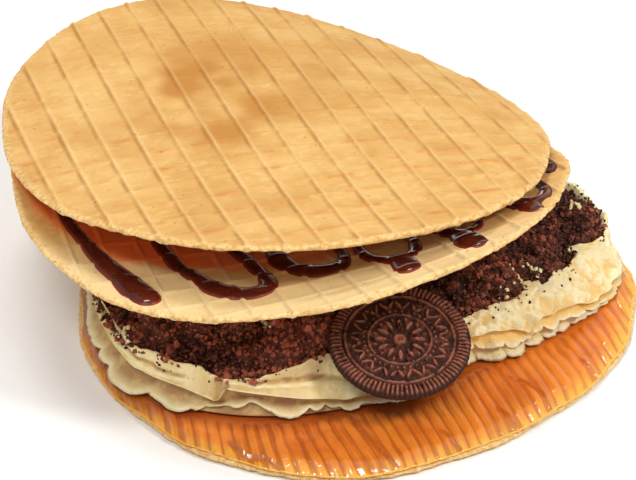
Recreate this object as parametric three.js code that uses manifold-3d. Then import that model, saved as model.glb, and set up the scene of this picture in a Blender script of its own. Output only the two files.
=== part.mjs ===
// A wafer sandwich: a flat wafer disc spread with combed caramel, a piped ring of whipped cream
// filled with cocoa crumbs, a cocoa biscuit leaning at the front, and two bent ribbed wafers on top,
// the lower of them drizzled with chocolate.
//
// Millimetres, +Z up. The origin is the centre of the bottom wafer's flat underside. The biscuit is
// at the front, towards -Y.
import * as THREE from 'three';
import * as BufferGeometryUtils from 'three/addons/utils/BufferGeometryUtils.js';
import Module from 'manifold-3d';

const wasm = await Module();
wasm.setup();

// ---- driving dimensions ----
const WAFER_RADIUS = 90;
const WAFER_THICKNESS = 2.4;          // the flat bottom wafer
const BENT_THICKNESS = 2.0;           // the two bent wafers
const RIB_HEIGHT = 0.6;
const RIB_HALF_WIDTH = 1.3;
const GAP = 0.3;                      // between pieces that rest on each other

const CARAMEL_THICKNESS = 1.9;
const CARAMEL_INSET = 1.6;            // the pale wafer edge that stays bare round the caramel
const COMB_DEPTH = 0.45;

const CREAM_HEIGHT = 14.5;
const CREAM_FLOOR = 4.5;              // cream under the crumbs
const CRUMB_DOME = 15;                // how far the heap rises above the cream's crest
const CRUMB_SIZE = 5;                 // the coarse lumps

const BISCUIT_RADIUS = 22;
const BISCUIT_THICKNESS = 4.2;
const BISCUIT_CENTRE = [12.7, -51.3, 22.3];
const BISCUIT_LEAN = [14.3, 2.2];     // degrees about X, then Y

const DRIZZLE_HEIGHT = 1.5;

// ---- small helpers ----
const rad = THREE.MathUtils.degToRad;
const mix = THREE.MathUtils.lerp;
const clamp = THREE.MathUtils.clamp;

// A round offset built from a few waves: each is [count, height, the angle of a crest in degrees].
const waves = (list, angle) => list.reduce(
  (sum, [count, height, crest]) => sum + height * Math.cos(count * (angle - rad(crest))), 0);

// The same angle between -half a turn and half a turn.
const wrap = (angle) => Math.atan2(Math.sin(angle), Math.cos(angle));

// The same draw each time, from 0 to 1.
function seededDraw(seed) {
  let state = seed;
  return () => {
    state = (state * 1664525 + 1013904223) % 4294967296;
    return state / 4294967296;
  };
}

function geometryOf(points, faces) {
  const geometry = new THREE.BufferGeometry();
  geometry.setAttribute('position', new THREE.Float32BufferAttribute(points, 3));
  geometry.setIndex(faces);
  return geometry;
}

// A closed solid of rings about the Z axis, listed from the underside outwards, up and back in to the
// top. A ring is a function from an angle to [radius, height].
function ringSolid(steps, rings, bottomHeight, topHeight) {
  const points = [0, 0, bottomHeight];
  for (const ring of rings) {
    for (let i = 0; i < steps; i += 1) {
      const angle = (2 * Math.PI * i) / steps;
      const [radius, height] = ring(angle, i);
      points.push(radius * Math.cos(angle), radius * Math.sin(angle), height);
    }
  }
  const top = points.length / 3;
  points.push(0, 0, topHeight);
  const at = (ring, i) => 1 + ring * steps + (i % steps);
  const faces = [];
  for (let i = 0; i < steps; i += 1) {
    faces.push(0, at(0, i + 1), at(0, i));
    for (let ring = 0; ring + 1 < rings.length; ring += 1) {
      faces.push(at(ring, i), at(ring, i + 1), at(ring + 1, i + 1));
      faces.push(at(ring, i), at(ring + 1, i + 1), at(ring + 1, i));
    }
    faces.push(at(rings.length - 1, i), at(rings.length - 1, i + 1), top);
  }
  return geometryOf(points, faces);
}

// Boolean work on closed geometries.
function toSolid(geometry) {
  const bare = geometry.clone();
  bare.deleteAttribute('normal');
  bare.deleteAttribute('uv');
  const merged = BufferGeometryUtils.mergeVertices(bare, 1e-5);
  return new wasm.Manifold(new wasm.Mesh({
    numProp: 3,
    vertProperties: new Float32Array(merged.attributes.position.array),
    triVerts: new Uint32Array(merged.index.array),
  }));
}

// The largest piece of a solid, without the loose scraps that a cut leaves.
function mainPiece(solid) {
  const pieces = solid.decompose();
  return pieces.reduce((best, piece) => (piece.volume() > best.volume() ? piece : best));
}

function toGeometry(solid) {
  const mesh = solid.getMesh();
  return geometryOf(Array.from(mesh.vertProperties), Array.from(mesh.triVerts));
}

// ---- the bent wafers ----
// A bent wafer is drawn flat and bent in its own frame, then leaned and lifted. `bend` gives the
// rise at the rim, in mm, of each term of a cubic: xx, xy, yy, xxx, xxy, xyy, yyy. `rim` is a list
// of waves, and `dent` a shallow dent in the rim, or a bulge where its depth is negative.
const MIDDLE_WAFER = {
  centre: [-20.6, 15.0, 33.7],
  lean: [-5.7, 3.6],
  bend: [13.0, -19.2, 4.7, 1.2, 0.4, -0.6, -1.8],
  ribTurn: 17,
  ribs: [{ spacing: 10.8, start: 7.5 }, { spacing: 10.6, start: -1.3 }],
  rim: [[5, 0.5, 20], [9, 0.35, 5], [14, 0.25, 0]],
  dent: { at: -168, depth: -1.0, spread: 24 },
};
const TOP_WAFER = {
  centre: [-24.2, 30.6, 55.0],
  lean: [-3.3, 5.6],
  bend: [-6.1, -12.4, -2.1, 2.3, -3.3, -3.8, -4.7],
  ribTurn: 19.3,
  ribs: [{ spacing: 11.0, start: 6.3 }, { spacing: 10.6, start: -2.9 }],
  rim: [[4, 0.4, 60], [7, 0.4, 12], [13, 0.25, 3]],
  dent: { at: -128, depth: 1.9, spread: 22 },
};

function bentHeight(wafer, x, y) {
  const s = x / WAFER_RADIUS;
  const t = y / WAFER_RADIUS;
  const terms = [s * s, s * t, t * t, s ** 3, s * s * t, s * t * t, t ** 3];
  return terms.reduce((sum, term, i) => sum + wafer.bend[i] * term, 0);
}

function leanRotation([aboutX, aboutY]) {
  return new THREE.Euler(rad(aboutX), rad(aboutY), 0, 'XYZ');
}

// Height of the bent wafer's middle surface above a point of the table, or null beyond its rim.
function heightOver(wafer, x, y) {
  const turn = new THREE.Matrix4().makeRotationFromEuler(leanRotation(wafer.lean));
  const [cx, cy, cz] = wafer.centre;
  const local = new THREE.Vector2(x - cx, y - cy);
  const point = new THREE.Vector3();
  for (let round = 0; round < 6; round += 1) {
    point.set(local.x, local.y, bentHeight(wafer, local.x, local.y)).applyMatrix4(turn);
    local.x += x - cx - point.x;
    local.y += y - cy - point.y;
  }
  return local.length() < WAFER_RADIUS + 2 ? point.z + cz : null;
}

function ribHeight(ribs, across) {
  const offset = across - ribs.start;
  const nearest = Math.round(offset / ribs.spacing) * ribs.spacing;
  return RIB_HEIGHT * Math.max(0, 1 - Math.abs(offset - nearest) / RIB_HALF_WIDTH);
}

// Lines across the wafer: at each rib's crest, and at the given places on the way to the next one.
function ribLines(ribs, between) {
  const reach = WAFER_RADIUS + 4;
  const lines = [-reach, reach];
  const first = Math.ceil((-reach - ribs.start) / ribs.spacing);
  const last = Math.floor((reach - ribs.start) / ribs.spacing);
  for (let i = first - 1; i <= last + 1; i += 1) {
    for (const step of [0, ...between]) {
      const line = ribs.start + i * ribs.spacing + step;
      if (Math.abs(line) < reach - 0.5) lines.push(line);
    }
  }
  return lines.sort((a, b) => a - b);
}

// A block whose top is a bent surface over a grid of lines and whose base is flat.
function blockUnder(linesU, linesV, surface, base) {
  const points = [];
  const faces = [];
  const columns = linesV.length;
  linesU.forEach((u) => linesV.forEach((v) => points.push(...surface(u, v))));
  const border = [];
  for (let i = 0; i < linesU.length; i += 1) border.push(i * columns);
  for (let j = 1; j < columns; j += 1) border.push((linesU.length - 1) * columns + j);
  for (let i = linesU.length - 2; i >= 0; i -= 1) border.push(i * columns + columns - 1);
  for (let j = columns - 2; j > 0; j -= 1) border.push(j);
  for (let i = 0; i + 1 < linesU.length; i += 1) {
    for (let j = 0; j + 1 < columns; j += 1) {
      const a = i * columns + j;
      faces.push(a, a + columns, a + columns + 1, a, a + columns + 1, a + 1);
    }
  }
  const firstLow = points.length / 3;
  border.forEach((k) => points.push(points[3 * k], points[3 * k + 1], base));
  const centre = points.length / 3;
  points.push(0, 0, base);
  border.forEach((k, n) => {
    const next = (n + 1) % border.length;
    faces.push(k, firstLow + n, border[next]);
    faces.push(border[next], firstLow + n, firstLow + next);
    faces.push(centre, firstLow + next, firstLow + n);
  });
  return geometryOf(points, faces);
}

function rimRadius({ rim, dent }, angle) {
  const from = wrap(angle - rad(dent.at)) / rad(dent.spread);
  return WAFER_RADIUS + waves(rim, angle) - dent.depth * Math.exp(-from * from);
}

function waferSolid(wafer, footLines) {
  const turn = rad(wafer.ribTurn);
  const flat = (u, v) => [
    u * Math.cos(turn) - v * Math.sin(turn),
    u * Math.sin(turn) + v * Math.cos(turn),
  ];
  const [ribsU, ribsV] = wafer.ribs;
  const upper = (u, v) => {
    const [x, y] = flat(u, v);
    const rib = Math.max(ribHeight(ribsU, u), ribHeight(ribsV, v));
    return [x, y, bentHeight(wafer, x, y) + BENT_THICKNESS / 2 + rib];
  };
  const lower = (u, v) => {
    const [x, y] = flat(u, v);
    return [x, y, bentHeight(wafer, x, y) - BENT_THICKNESS / 2];
  };
  const body = blockUnder(
    ribLines(ribsU, footLines[0]), ribLines(ribsV, footLines[1]), upper, -60);
  const cut = blockUnder(ribLines(ribsU, []), ribLines(ribsV, []), lower, -70);
  const rimSide = (height) => (angle) => [rimRadius(wafer, angle), height];
  const round = ringSolid(72, [rimSide(-50), rimSide(50)], -50, 50);
  return toSolid(body).intersect(toSolid(round)).subtract(toSolid(cut));
}

function leanMesh(geometry, wafer) {
  const mesh = new THREE.Mesh(geometry);
  mesh.position.set(...wafer.centre);
  mesh.rotation.copy(leanRotation(wafer.lean));
  return mesh;
}

// ---- chocolate drizzle: one zigzag whose bends show in front of the top wafer ----
// Each stroke runs through [x, y, width] on the flat middle wafer.
const DRIZZLE_STROKES = [
  [[-43, -72, 9], [-46, -68, 10.5], [-51, -60, 9], [-57, -52, 7.5], [-64, -41, 5.5],
    [-71, -29, 5], [-76, -14, 5]],
  [[-48, -20, 5], [-42, -36, 5], [-38.5, -44, 5.5], [-34.5, -52, 5.5], [-29, -58.5, 6],
    [-23, -66, 8], [-15, -71, 9], [-8, -69, 7.5], [-7, -62, 6], [-10.5, -54, 5.5],
    [-15, -45, 5], [-20, -36, 5], [-26, -20, 5]],
  [[-10, -24, 5], [-5, -40, 6.5], [-3.5, -49, 7.5], [1, -55.5, 7], [8, -59, 9],
    [14.5, -57, 7], [16.5, -50, 4.5], [14.5, -41, 4], [10, -24, 4.5]],
  [[17, -26, 4], [20.5, -41, 4], [22.5, -50, 4.5], [27, -56, 5.5], [33, -58, 7],
    [37.5, -54, 5], [38, -46, 4.5], [35.5, -34, 4.5], [33, -22, 4.5]],
  [[33.5, -58, 7.5], [34.5, -64, 8.5], [35, -67.5, 8.5]],
  [[43, -26, 4.5], [46, -38, 5.5], [50, -44, 6.5], [55, -45, 5], [58, -41, 3.6], [57, -30, 3.6],
    [55, -18, 4]],
  [[52, -46, 7], [54, -54, 9], [56, -59.5, 7.5]],
  [[64, -14, 5], [69, -26, 7], [74, -31, 9], [78.5, -28, 6], [80, -19, 4], [77, -6, 4]],
  [[73, -32, 9], [75.5, -39, 5.5]],
  [[83.5, -4, 3.5], [84.5, 1, 3.6], [83, 9, 3.6]],
];

// How sharply a flat curve turns left at a place along it, in radians per mm.
function leftTurn(curve, t) {
  const from = Math.max(0, t - 0.02);
  const to = Math.min(1, t + 0.02);
  const before = curve.getTangent(from);
  const after = curve.getTangent(to);
  const length = curve.getPoint(from).distanceTo(curve.getPoint(to));
  return (before.x * after.y - before.y * after.x) / length;
}

function drizzleStroke(stroke, order) {
  const height = DRIZZLE_HEIGHT * (1 + 0.13 * (order % 3));
  const through = (place) => new THREE.CatmullRomCurve3(stroke.map(place));
  const path = through(([x, y]) => new THREE.Vector3(x, y, 0));
  const widths = through(([, , width]) => new THREE.Vector3(width, 0, 0));
  const steps = Math.round(1.7 * stroke.length);
  // the section: a low bead, its feet sunk into the wafer
  const section = [[-0.5, -0.7], [0.5, -0.7], [0.36, 1], [-0.36, 1]];
  const points = [];
  for (let i = 0; i <= steps; i += 1) {
    const t = i / steps;
    const at = path.getPoint(t);
    const along = path.getTangent(t);
    const turn = leftTurn(path, t);
    const end = i === 0 || i === steps ? 0.6 : 1;
    const width = widths.getPoint(t).x * end;
    for (const [side, lift] of section) {
      // on the inside of a bend the bead reaches no further than the bend's own centre
      const most = side * turn > 0 ? 0.75 / Math.abs(turn) : Infinity;
      const reach = Math.min(Math.abs(side) * width, most);
      const x = at.x - along.y * reach * Math.sign(side);
      const y = at.y + along.x * reach * Math.sign(side);
      const crown = lift > 0 ? lift * height * end : lift;
      points.push(x, y, bentHeight(MIDDLE_WAFER, x, y) + BENT_THICKNESS / 2 + crown);
    }
  }
  const sides = section.length;
  const faces = [];
  for (let i = 0; i < steps; i += 1) {
    for (let k = 0; k < sides; k += 1) {
      const a = i * sides + k;
      const b = i * sides + ((k + 1) % sides);
      faces.push(a, b, a + sides, b, b + sides, a + sides);
    }
  }
  const last = steps * sides;
  for (let k = 1; k + 1 < sides; k += 1) {
    faces.push(0, k + 1, k);
    faces.push(last, last + k, last + k + 1);
  }
  return geometryOf(points, faces);
}

// ---- bottom wafer and caramel ----
const BOTTOM_RIM = [[2, 2.0, 49], [3, 0.9, -17], [4, 1.8, -5], [11, 0.3, 7], [17, 0.25, 3]];
const bottomRim = (angle) => WAFER_RADIUS + waves(BOTTOM_RIM, angle);

function bottomWafer() {
  const edge = 0.5;
  return ringSolid(72, [
    (a) => [bottomRim(a) - edge, 0],
    (a) => [bottomRim(a), edge],
    (a) => [bottomRim(a) - 0.2, WAFER_THICKNESS],
  ], 0, WAFER_THICKNESS);
}

// How far the cream's foot is pulled in from the rim: most at the front, where the biscuit leans.
const CREAM_RADIUS = 87.3;
const CREAM_PULL = 34;
const CREAM_FRONT = rad(-55);

function creamFoot(angle) {
  const from = wrap(angle - CREAM_FRONT);
  const reach = rad(from < 0 ? 95 : 62);
  const near = 0.5 + 0.5 * Math.cos(Math.PI * Math.min(1, Math.abs(from) / reach));
  const bulge = 5 * Math.exp(-(((from + rad(17)) / rad(13)) ** 2));
  return Math.min(CREAM_RADIUS - CREAM_PULL * near ** 0.68 + bulge, bottomRim(angle) - 3);
}

function caramelLayer() {
  const steps = 108;
  const low = WAFER_THICKNESS + GAP;
  const top = low + CARAMEL_THICKNESS;
  const rim = (a) => bottomRim(a) - CARAMEL_INSET + waves([[7, 0.6, 10], [19, 0.35, 4]], a);
  const comb = (i) => (i % 2 ? COMB_DEPTH : -COMB_DEPTH) / 2;
  const inner = (a) => Math.min(creamFoot(a) + 3, rim(a) - 1.6);
  // the bare caramel stands proud, and it is pressed flat where the cream comes close to the rim
  const proud = (a, i) => clamp((rim(a) - inner(a) - 3) / 6, 0, 1) * (0.25 + comb(i));
  return ringSolid(steps, [
    (a) => [rim(a) - 0.6, low],
    (a, i) => [rim(a) + comb(i), low + 0.7],
    (a, i) => [rim(a) - 1.4, top - 0.4 + proud(a, i)],
    (a, i) => [inner(a), top - 0.4 + proud(a, i)],
    (a) => [inner(a) - 1, top - 0.4],
  ], low, top - 0.4);
}

// ---- whipped cream: a thin bed under the crumbs and a piped border of two ruffled ribbons ----
const CREAM_BASE = WAFER_THICKNESS + GAP + CARAMEL_THICKNESS + GAP - 0.4;
const CREAM_CREST = CREAM_BASE + CREAM_HEIGHT;
const CREAM_STEPS = 84;

// The border is broader and flatter on the right than on the left.
const rightSide = (angle) => 0.5 + 0.5 * Math.cos(angle);
const creamWidth = (angle) => mix(8.5, 12.5, rightSide(angle));
const creamInside = (angle) => creamFoot(angle) - creamWidth(angle);
const ruffle = (angle) => 0.9 * Math.sin(19 * angle) + 0.6 * Math.sin(31 * angle + 1);

function creamBorder() {
  return ringSolid(CREAM_STEPS, [
    (a) => [creamFoot(a) + ruffle(a), CREAM_BASE],
    (a) => [creamFoot(a) + 0.8 + 1.2 * ruffle(a), CREAM_BASE + 3],
    (a) => [creamFoot(a) - 0.8, CREAM_BASE + 5.6],
    (a) => [creamFoot(a) + 0.3 + 0.5 * ruffle(a + 0.1), CREAM_BASE + 7.2],
    (a) => [creamFoot(a) - 1.8, CREAM_CREST - 3.0],
    (a) => [creamFoot(a) - 0.55 * creamWidth(a), CREAM_CREST + 0.4 * Math.sin(9 * a)],
    (a) => [creamInside(a), CREAM_CREST - 1.2],
    (a) => [creamInside(a) - 4, CREAM_BASE + CREAM_FLOOR],
  ], CREAM_BASE, CREAM_BASE + CREAM_FLOOR);
}

// ---- cocoa crumbs: a heap on the cream's bed, with the coarse lumps fused on ----
const lowerFace = (x, y) => {
  const height = heightOver(MIDDLE_WAFER, x, y);
  return height === null ? Infinity : height - BENT_THICKNESS / 2 - 0.5;
};

function heapHeight(x, y, share) {
  const edge = 1 - share;
  const rise = 4.5 * (1 - Math.exp(-edge / 0.06)) + (CRUMB_DOME - 4.5) * (1 - share * share);
  const bumps = 0.9 * Math.sin(0.55 * x + 1) * Math.sin(0.5 * y) + 0.7 * Math.sin(0.9 * x - 0.7 * y);
  return Math.min(CREAM_CREST - 0.9 + rise + bumps * Math.min(1, edge / 0.1), lowerFace(x, y));
}

function crumbHeap() {
  const side = (a) => creamInside(a) - GAP - 0.15;
  const ring = (share) => (a) => {
    const radius = side(a) * share;
    return [radius, heapHeight(radius * Math.cos(a), radius * Math.sin(a), share)];
  };
  return ringSolid(CREAM_STEPS, [
    (a) => [side(a) - 4.1, CREAM_BASE + CREAM_FLOOR + GAP],
    (a) => [side(a), CREAM_CREST - 0.9],
    ring(0.93), ring(0.8), ring(0.6), ring(0.36),
  ], CREAM_BASE + CREAM_FLOOR + GAP, heapHeight(0, 0, 0));
}

function crumbLumps() {
  const draw = seededDraw(7);
  const lumps = [];
  for (let i = 0; i < 34; i += 1) {
    const angle = rad(i * 137.5);
    const share = 0.93 * Math.sqrt(0.35 + 0.65 * draw());
    const radius = creamInside(angle) * share;
    const size = CRUMB_SIZE * (0.35 + 0.3 * draw());
    const x = radius * Math.cos(angle);
    const y = radius * Math.sin(angle);
    const height = Math.min(heapHeight(x, y, share) - 0.1 * size, lowerFace(x, y) - size - 0.6);
    const lump = new THREE.IcosahedronGeometry(size, 0);
    lump.rotateX(6 * draw()).rotateZ(6 * draw());
    lump.scale(1, 0.8 + 0.4 * draw(), 0.85);
    lump.translate(x, y, height);
    lumps.push(toSolid(lump));
  }
  return lumps;
}

// ---- cocoa biscuit: one disc with a toothed rim round a lower band and a raised middle ----
function biscuit() {
  const half = BISCUIT_THICKNESS / 2;
  const tooth = (i) => (i % 2 ? 0.45 : -0.45);
  return ringSolid(72, [
    () => [BISCUIT_RADIUS - 1.0, -half],
    () => [BISCUIT_RADIUS - 0.2, 0.8 - half],
    (a, i) => [BISCUIT_RADIUS - 0.3 + 0.5 * tooth(i), half - 1.2],
    (a, i) => [BISCUIT_RADIUS - 1.2, half - 0.45 + tooth(i)],
    (a, i) => [BISCUIT_RADIUS - 3.6, half - 0.45 + tooth(i)],
    () => [BISCUIT_RADIUS - 4.2, half - 0.9],
    () => [BISCUIT_RADIUS - 5.2, half - 0.3],
  ], -half, half - 0.3);
}

// The room that the biscuit presses into the cream and crumbs, a little larger than itself.
function biscuitRoom() {
  const room = new THREE.CylinderGeometry(
    BISCUIT_RADIUS + GAP + 0.2, BISCUIT_RADIUS + GAP + 0.2, BISCUIT_THICKNESS + 2 * GAP, 48);
  room.rotateX(Math.PI / 2);
  const place = new THREE.Matrix4().makeRotationFromEuler(leanRotation(BISCUIT_LEAN));
  place.setPosition(...BISCUIT_CENTRE);
  room.applyMatrix4(place);
  return toSolid(room);
}

// ---- the pieces, from the bottom up ----
const CARAMEL_FINISH = { color: 0xd9822b, roughness: 0.25 };
const CREAM_FINISH = { color: 0xf3e6bf, roughness: 0.5 };
const COCOA_FINISH = { color: 0x3a241d, roughness: 0.9 };
const WAFER_FINISH = { color: 0xe6bd78, roughness: 0.75 };

const sandwich = new THREE.Group();

function add(name, mesh, finish) {
  mesh.name = name;
  mesh.material = new THREE.MeshStandardMaterial({ ...finish, metalness: 0 });
  sandwich.add(mesh);
}

add('bottom_wafer', new THREE.Mesh(bottomWafer()), WAFER_FINISH);
add('caramel_layer', new THREE.Mesh(caramelLayer()), CARAMEL_FINISH);

const room = biscuitRoom();
const cream = toSolid(creamBorder()).subtract(room);
add('whipped_cream', new THREE.Mesh(toGeometry(cream)), CREAM_FINISH);

const heap = crumbLumps().reduce((sum, lump) => sum.add(lump), toSolid(crumbHeap()));
add('cocoa_crumbs', new THREE.Mesh(toGeometry(mainPiece(heap.subtract(room)))), COCOA_FINISH);

const biscuitMesh = new THREE.Mesh(biscuit());
biscuitMesh.position.set(...BISCUIT_CENTRE);
biscuitMesh.rotation.copy(leanRotation(BISCUIT_LEAN));
add('cocoa_biscuit', biscuitMesh, COCOA_FINISH);

const middle = DRIZZLE_STROKES.reduce(
  (sum, stroke, order) => sum.add(toSolid(drizzleStroke(stroke, order))),
  waferSolid(MIDDLE_WAFER, [[], []]));
add('middle_wafer', leanMesh(toGeometry(mainPiece(middle)), MIDDLE_WAFER), WAFER_FINISH);

const topRibs = [[-RIB_HALF_WIDTH, RIB_HALF_WIDTH], [5.3]];
add('top_wafer', leanMesh(toGeometry(waferSolid(TOP_WAFER, topRibs)), TOP_WAFER), WAFER_FINISH);

export default sandwich;
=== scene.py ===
"""A round layered wafer sandwich: caramel, whipped cream, cocoa crumbs, a cocoa biscuit, and two
bent wafers with chocolate drizzled between them. Lengths are in millimetres until a mesh is made."""
import math

import bmesh
import bpy
import numpy as np
from mathutils import Matrix, Vector
from mathutils.geometry import delaunay_2d_cdt


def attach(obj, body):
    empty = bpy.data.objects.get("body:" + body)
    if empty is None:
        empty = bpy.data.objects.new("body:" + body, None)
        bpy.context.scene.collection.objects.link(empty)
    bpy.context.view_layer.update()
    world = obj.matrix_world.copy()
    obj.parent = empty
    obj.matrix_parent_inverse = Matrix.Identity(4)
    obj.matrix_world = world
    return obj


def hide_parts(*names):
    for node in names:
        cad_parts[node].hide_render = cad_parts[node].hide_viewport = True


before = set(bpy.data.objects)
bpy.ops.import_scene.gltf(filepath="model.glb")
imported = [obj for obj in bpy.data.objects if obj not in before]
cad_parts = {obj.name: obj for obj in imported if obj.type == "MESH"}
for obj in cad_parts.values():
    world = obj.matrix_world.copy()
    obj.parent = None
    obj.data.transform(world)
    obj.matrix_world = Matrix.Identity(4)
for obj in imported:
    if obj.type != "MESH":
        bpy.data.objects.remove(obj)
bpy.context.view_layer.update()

# ---- bottom wafer ---------------------------------------------------------------------------
# A thin crisp wafer baked between two ribbed irons, left flat. Its rim is broken and porous, a
# little out of round, and stays bare round the caramel that is spread on it.
MM = 0.001
WAFER_RADIUS = 90
BOTTOM_THICKNESS = 2.4
BOTTOM_RIM = ((2, 2.0, 49), (3, 0.9, -17), (4, 1.8, -5), (11, 0.3, 7), (17, 0.25, 3))
BOTTOM_RIBS = ((10.8, 2.0), (10.6, 4.0))
BOTTOM_TURN = 24


def waves(angle, crests):
    """A round offset: each crest is (count, height, the angle of one crest in degrees)."""
    return sum(h * np.cos(n * (angle - math.radians(at))) for n, h, at in crests)


def relief(points, size, seed):
    """Smooth bumps of -1..1 over (N, 2) or (N, 3) points, each about `size` mm across."""
    place = np.asarray(points, float) / size
    cell = np.floor(place).astype(np.int64)
    share = place - cell
    share = share * share * (3 - 2 * share)
    total = np.zeros(len(place))
    for corner in np.ndindex(*(2,) * place.shape[1]):
        mixed = (cell + corner) @ np.array((374761393, 668265263, 1440662683)[:len(corner)])
        mixed = (mixed + seed * 3266489917) & 0xFFFFFFFF
        mixed = ((mixed ^ (mixed >> 15)) * 2246822519) & 0xFFFFFFFF
        mixed = ((mixed ^ (mixed >> 13)) * 3266489917) & 0xFFFFFFFF
        draw = (mixed ^ (mixed >> 16)) / 0x7FFFFFFF - 1
        total += draw * np.where(corner, share, 1 - share).prod(1)
    return total


def rough(points, size, seed, layers=3):
    """Relief with finer and lower relief added on it."""
    return sum(relief(points, size / 2 ** k, seed + 7 * k) / 2 ** k for k in range(layers))


def soft_step(low, high, value):
    share = np.clip((value - low) / (high - low), 0, 1)
    return share * share * (3 - 2 * share)


def around(count):
    return np.arange(count) * (2 * math.pi / count)


def from_bearing(angle, at):
    """Degrees from the bearing `at`, in -180..180, of angles in radians."""
    turned_by = angle - math.radians(at)
    return np.degrees(np.arctan2(np.sin(turned_by), np.cos(turned_by)))


def polar(angle, radius):
    return np.stack([radius * np.cos(angle), radius * np.sin(angle)], -1)


def make_piece(name, points, faces, material, **tones):
    """A smooth mesh object from points in mm and arrays of triangles or quads. Each tone is a
    number for every point, which the material reads by its name."""
    mesh = bpy.data.meshes.new(name)
    corners = np.concatenate([np.asarray(f).ravel() for f in faces])
    sizes = np.concatenate([np.full(len(f), len(f[0])) for f in faces])
    mesh.vertices.add(len(points))
    mesh.vertices.foreach_set("co", (np.asarray(points) * MM).astype(np.float32).ravel())
    mesh.loops.add(len(corners))
    mesh.loops.foreach_set("vertex_index", corners.astype(np.int32))
    mesh.polygons.add(len(sizes))
    mesh.polygons.foreach_set("loop_start", (np.cumsum(sizes) - sizes).astype(np.int32))
    mesh.update(calc_edges=True)
    mesh.shade_smooth()
    for tone, numbers in tones.items():
        layer = mesh.attributes.new(tone, "FLOAT", "POINT")
        layer.data.foreach_set("value", np.asarray(numbers, np.float32))
    mesh.materials.append(material)
    piece = bpy.data.objects.new(name, mesh)
    bpy.context.scene.collection.objects.link(piece)
    return piece


def plan_of(rim, fill):
    """Triangles over a flat outline: the rim's points in order, then the points inside it."""
    loop = [(i, (i + 1) % len(rim)) for i in range(len(rim))]
    flat = [Vector(p) for p in np.concatenate([rim, fill]).tolist()]
    points, _, faces, *_ = delaunay_2d_cdt(flat, loop, [], 1, 1e-7)
    return np.array([p[:] for p in points]), np.array(faces)


def slab(faces, upper, lower, edge):
    """Points and faces of a closed slab: two faces of one plan, and rings of points round its
    side, from the upper face down."""
    count = len(upper)
    rim = len(edge[0])
    points = np.concatenate([upper, lower, *edge])
    rings = [np.arange(rim), *(2 * count + k * rim + np.arange(rim) for k in range(len(edge)))]
    rings.append(count + np.arange(rim))
    sides = [np.stack([np.roll(a, -1), a, b, np.roll(b, -1)], 1) for a, b in zip(rings, rings[1:])]
    return points, [faces, faces[:, ::-1] + count, *sides]


def rib_lines(ribs, offsets):
    """Lines across a wafer at each rib's crest and at the given places on both sides of it."""
    spacing, start = ribs
    crests = start + spacing * np.arange(-10, 11)
    lines = np.sort(np.concatenate([crests + o for o in offsets]))
    return lines[np.abs(lines) < WAFER_RADIUS + 3]


def across(ribs, place):
    """Distance from the nearest rib's crest, with its sign."""
    spacing, start = ribs
    return place - start - np.round((place - start) / spacing) * spacing


RIB_OFFSETS = (0, -0.35, 0.35, -0.75, 0.75, -1.15, 1.15, -1.8, 1.8, -3.4, 3.4, 5.2)


def wafer_plan(radius, turn, ribs):
    """The plan of a ribbed wafer: a fine rim, and inside it points on the lines of the ribs."""
    angle = around(1500)
    rim = polar(angle, radius(angle))
    near = polar(angle[::2], radius(angle[::2]) - 0.8)
    u, v = (g.ravel() for g in np.meshgrid(*(rib_lines(r, RIB_OFFSETS) for r in ribs)))
    a = math.radians(turn)
    fill = np.stack([u * math.cos(a) - v * math.sin(a), u * math.sin(a) + v * math.cos(a)], 1)
    inside = np.hypot(*fill.T) < radius(np.arctan2(fill[:, 1], fill[:, 0])) - 1.3
    points, faces = plan_of(rim, np.concatenate([near, fill[inside]]))
    return points, faces, len(rim)


def lattice(points, turn, ribs, seed):
    """The ribs over flat points: their relief, 0 in the cells and 1 on a rib's crest, how far each
    point is from a rib of either family, with its sign, and its place counted in cells. The second
    family is lower and fades out towards the back, and every rib's height varies here and there with wear."""
    a = math.radians(turn)
    u = points[:, 0] * math.cos(a) + points[:, 1] * math.sin(a)
    v = points[:, 1] * math.cos(a) - points[:, 0] * math.sin(a)
    first, second = across(ribs[0], u), across(ribs[1], v)
    worn = 1 + 0.3 * relief(points, 17, seed) + 0.2 * relief(points, 5, seed + 1)
    nearer = 0.3 + 0.7 * soft_step(30, -45, points[:, 1] - 0.45 * points[:, 0])
    sharp = soft_step(1.15, 0.25, np.abs(first)) * worn
    broad = 0.85 * soft_step(1.5, 0.2, np.abs(second)) * worn * nearer
    cell = np.abs(first) / ribs[0][0] + np.abs(second) / ribs[1][0]
    cells = np.column_stack([(u - ribs[0][1]) / ribs[0][0], (v - ribs[1][1]) / ribs[1][0]])
    return np.maximum(sharp, broad) - 0.2 * cell, first, second, cells


def crumbly(height, angle, amount, seed):
    """Broken edge: how far the rim stands out at each angle and height. It is roughest in front."""
    place = np.column_stack([polar(angle, 90.0), height])
    chips = np.minimum(0, relief(place, 5, seed + 3) + 0.35) * 1.2
    front = 0.45 + 0.55 * soft_step(0.1, 0.8, np.cos(angle + math.radians(78)))
    return amount * front * (0.55 * relief(place, 2.4, seed) + 0.45 * relief(place, 1.1, seed + 1) + chips)


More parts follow.
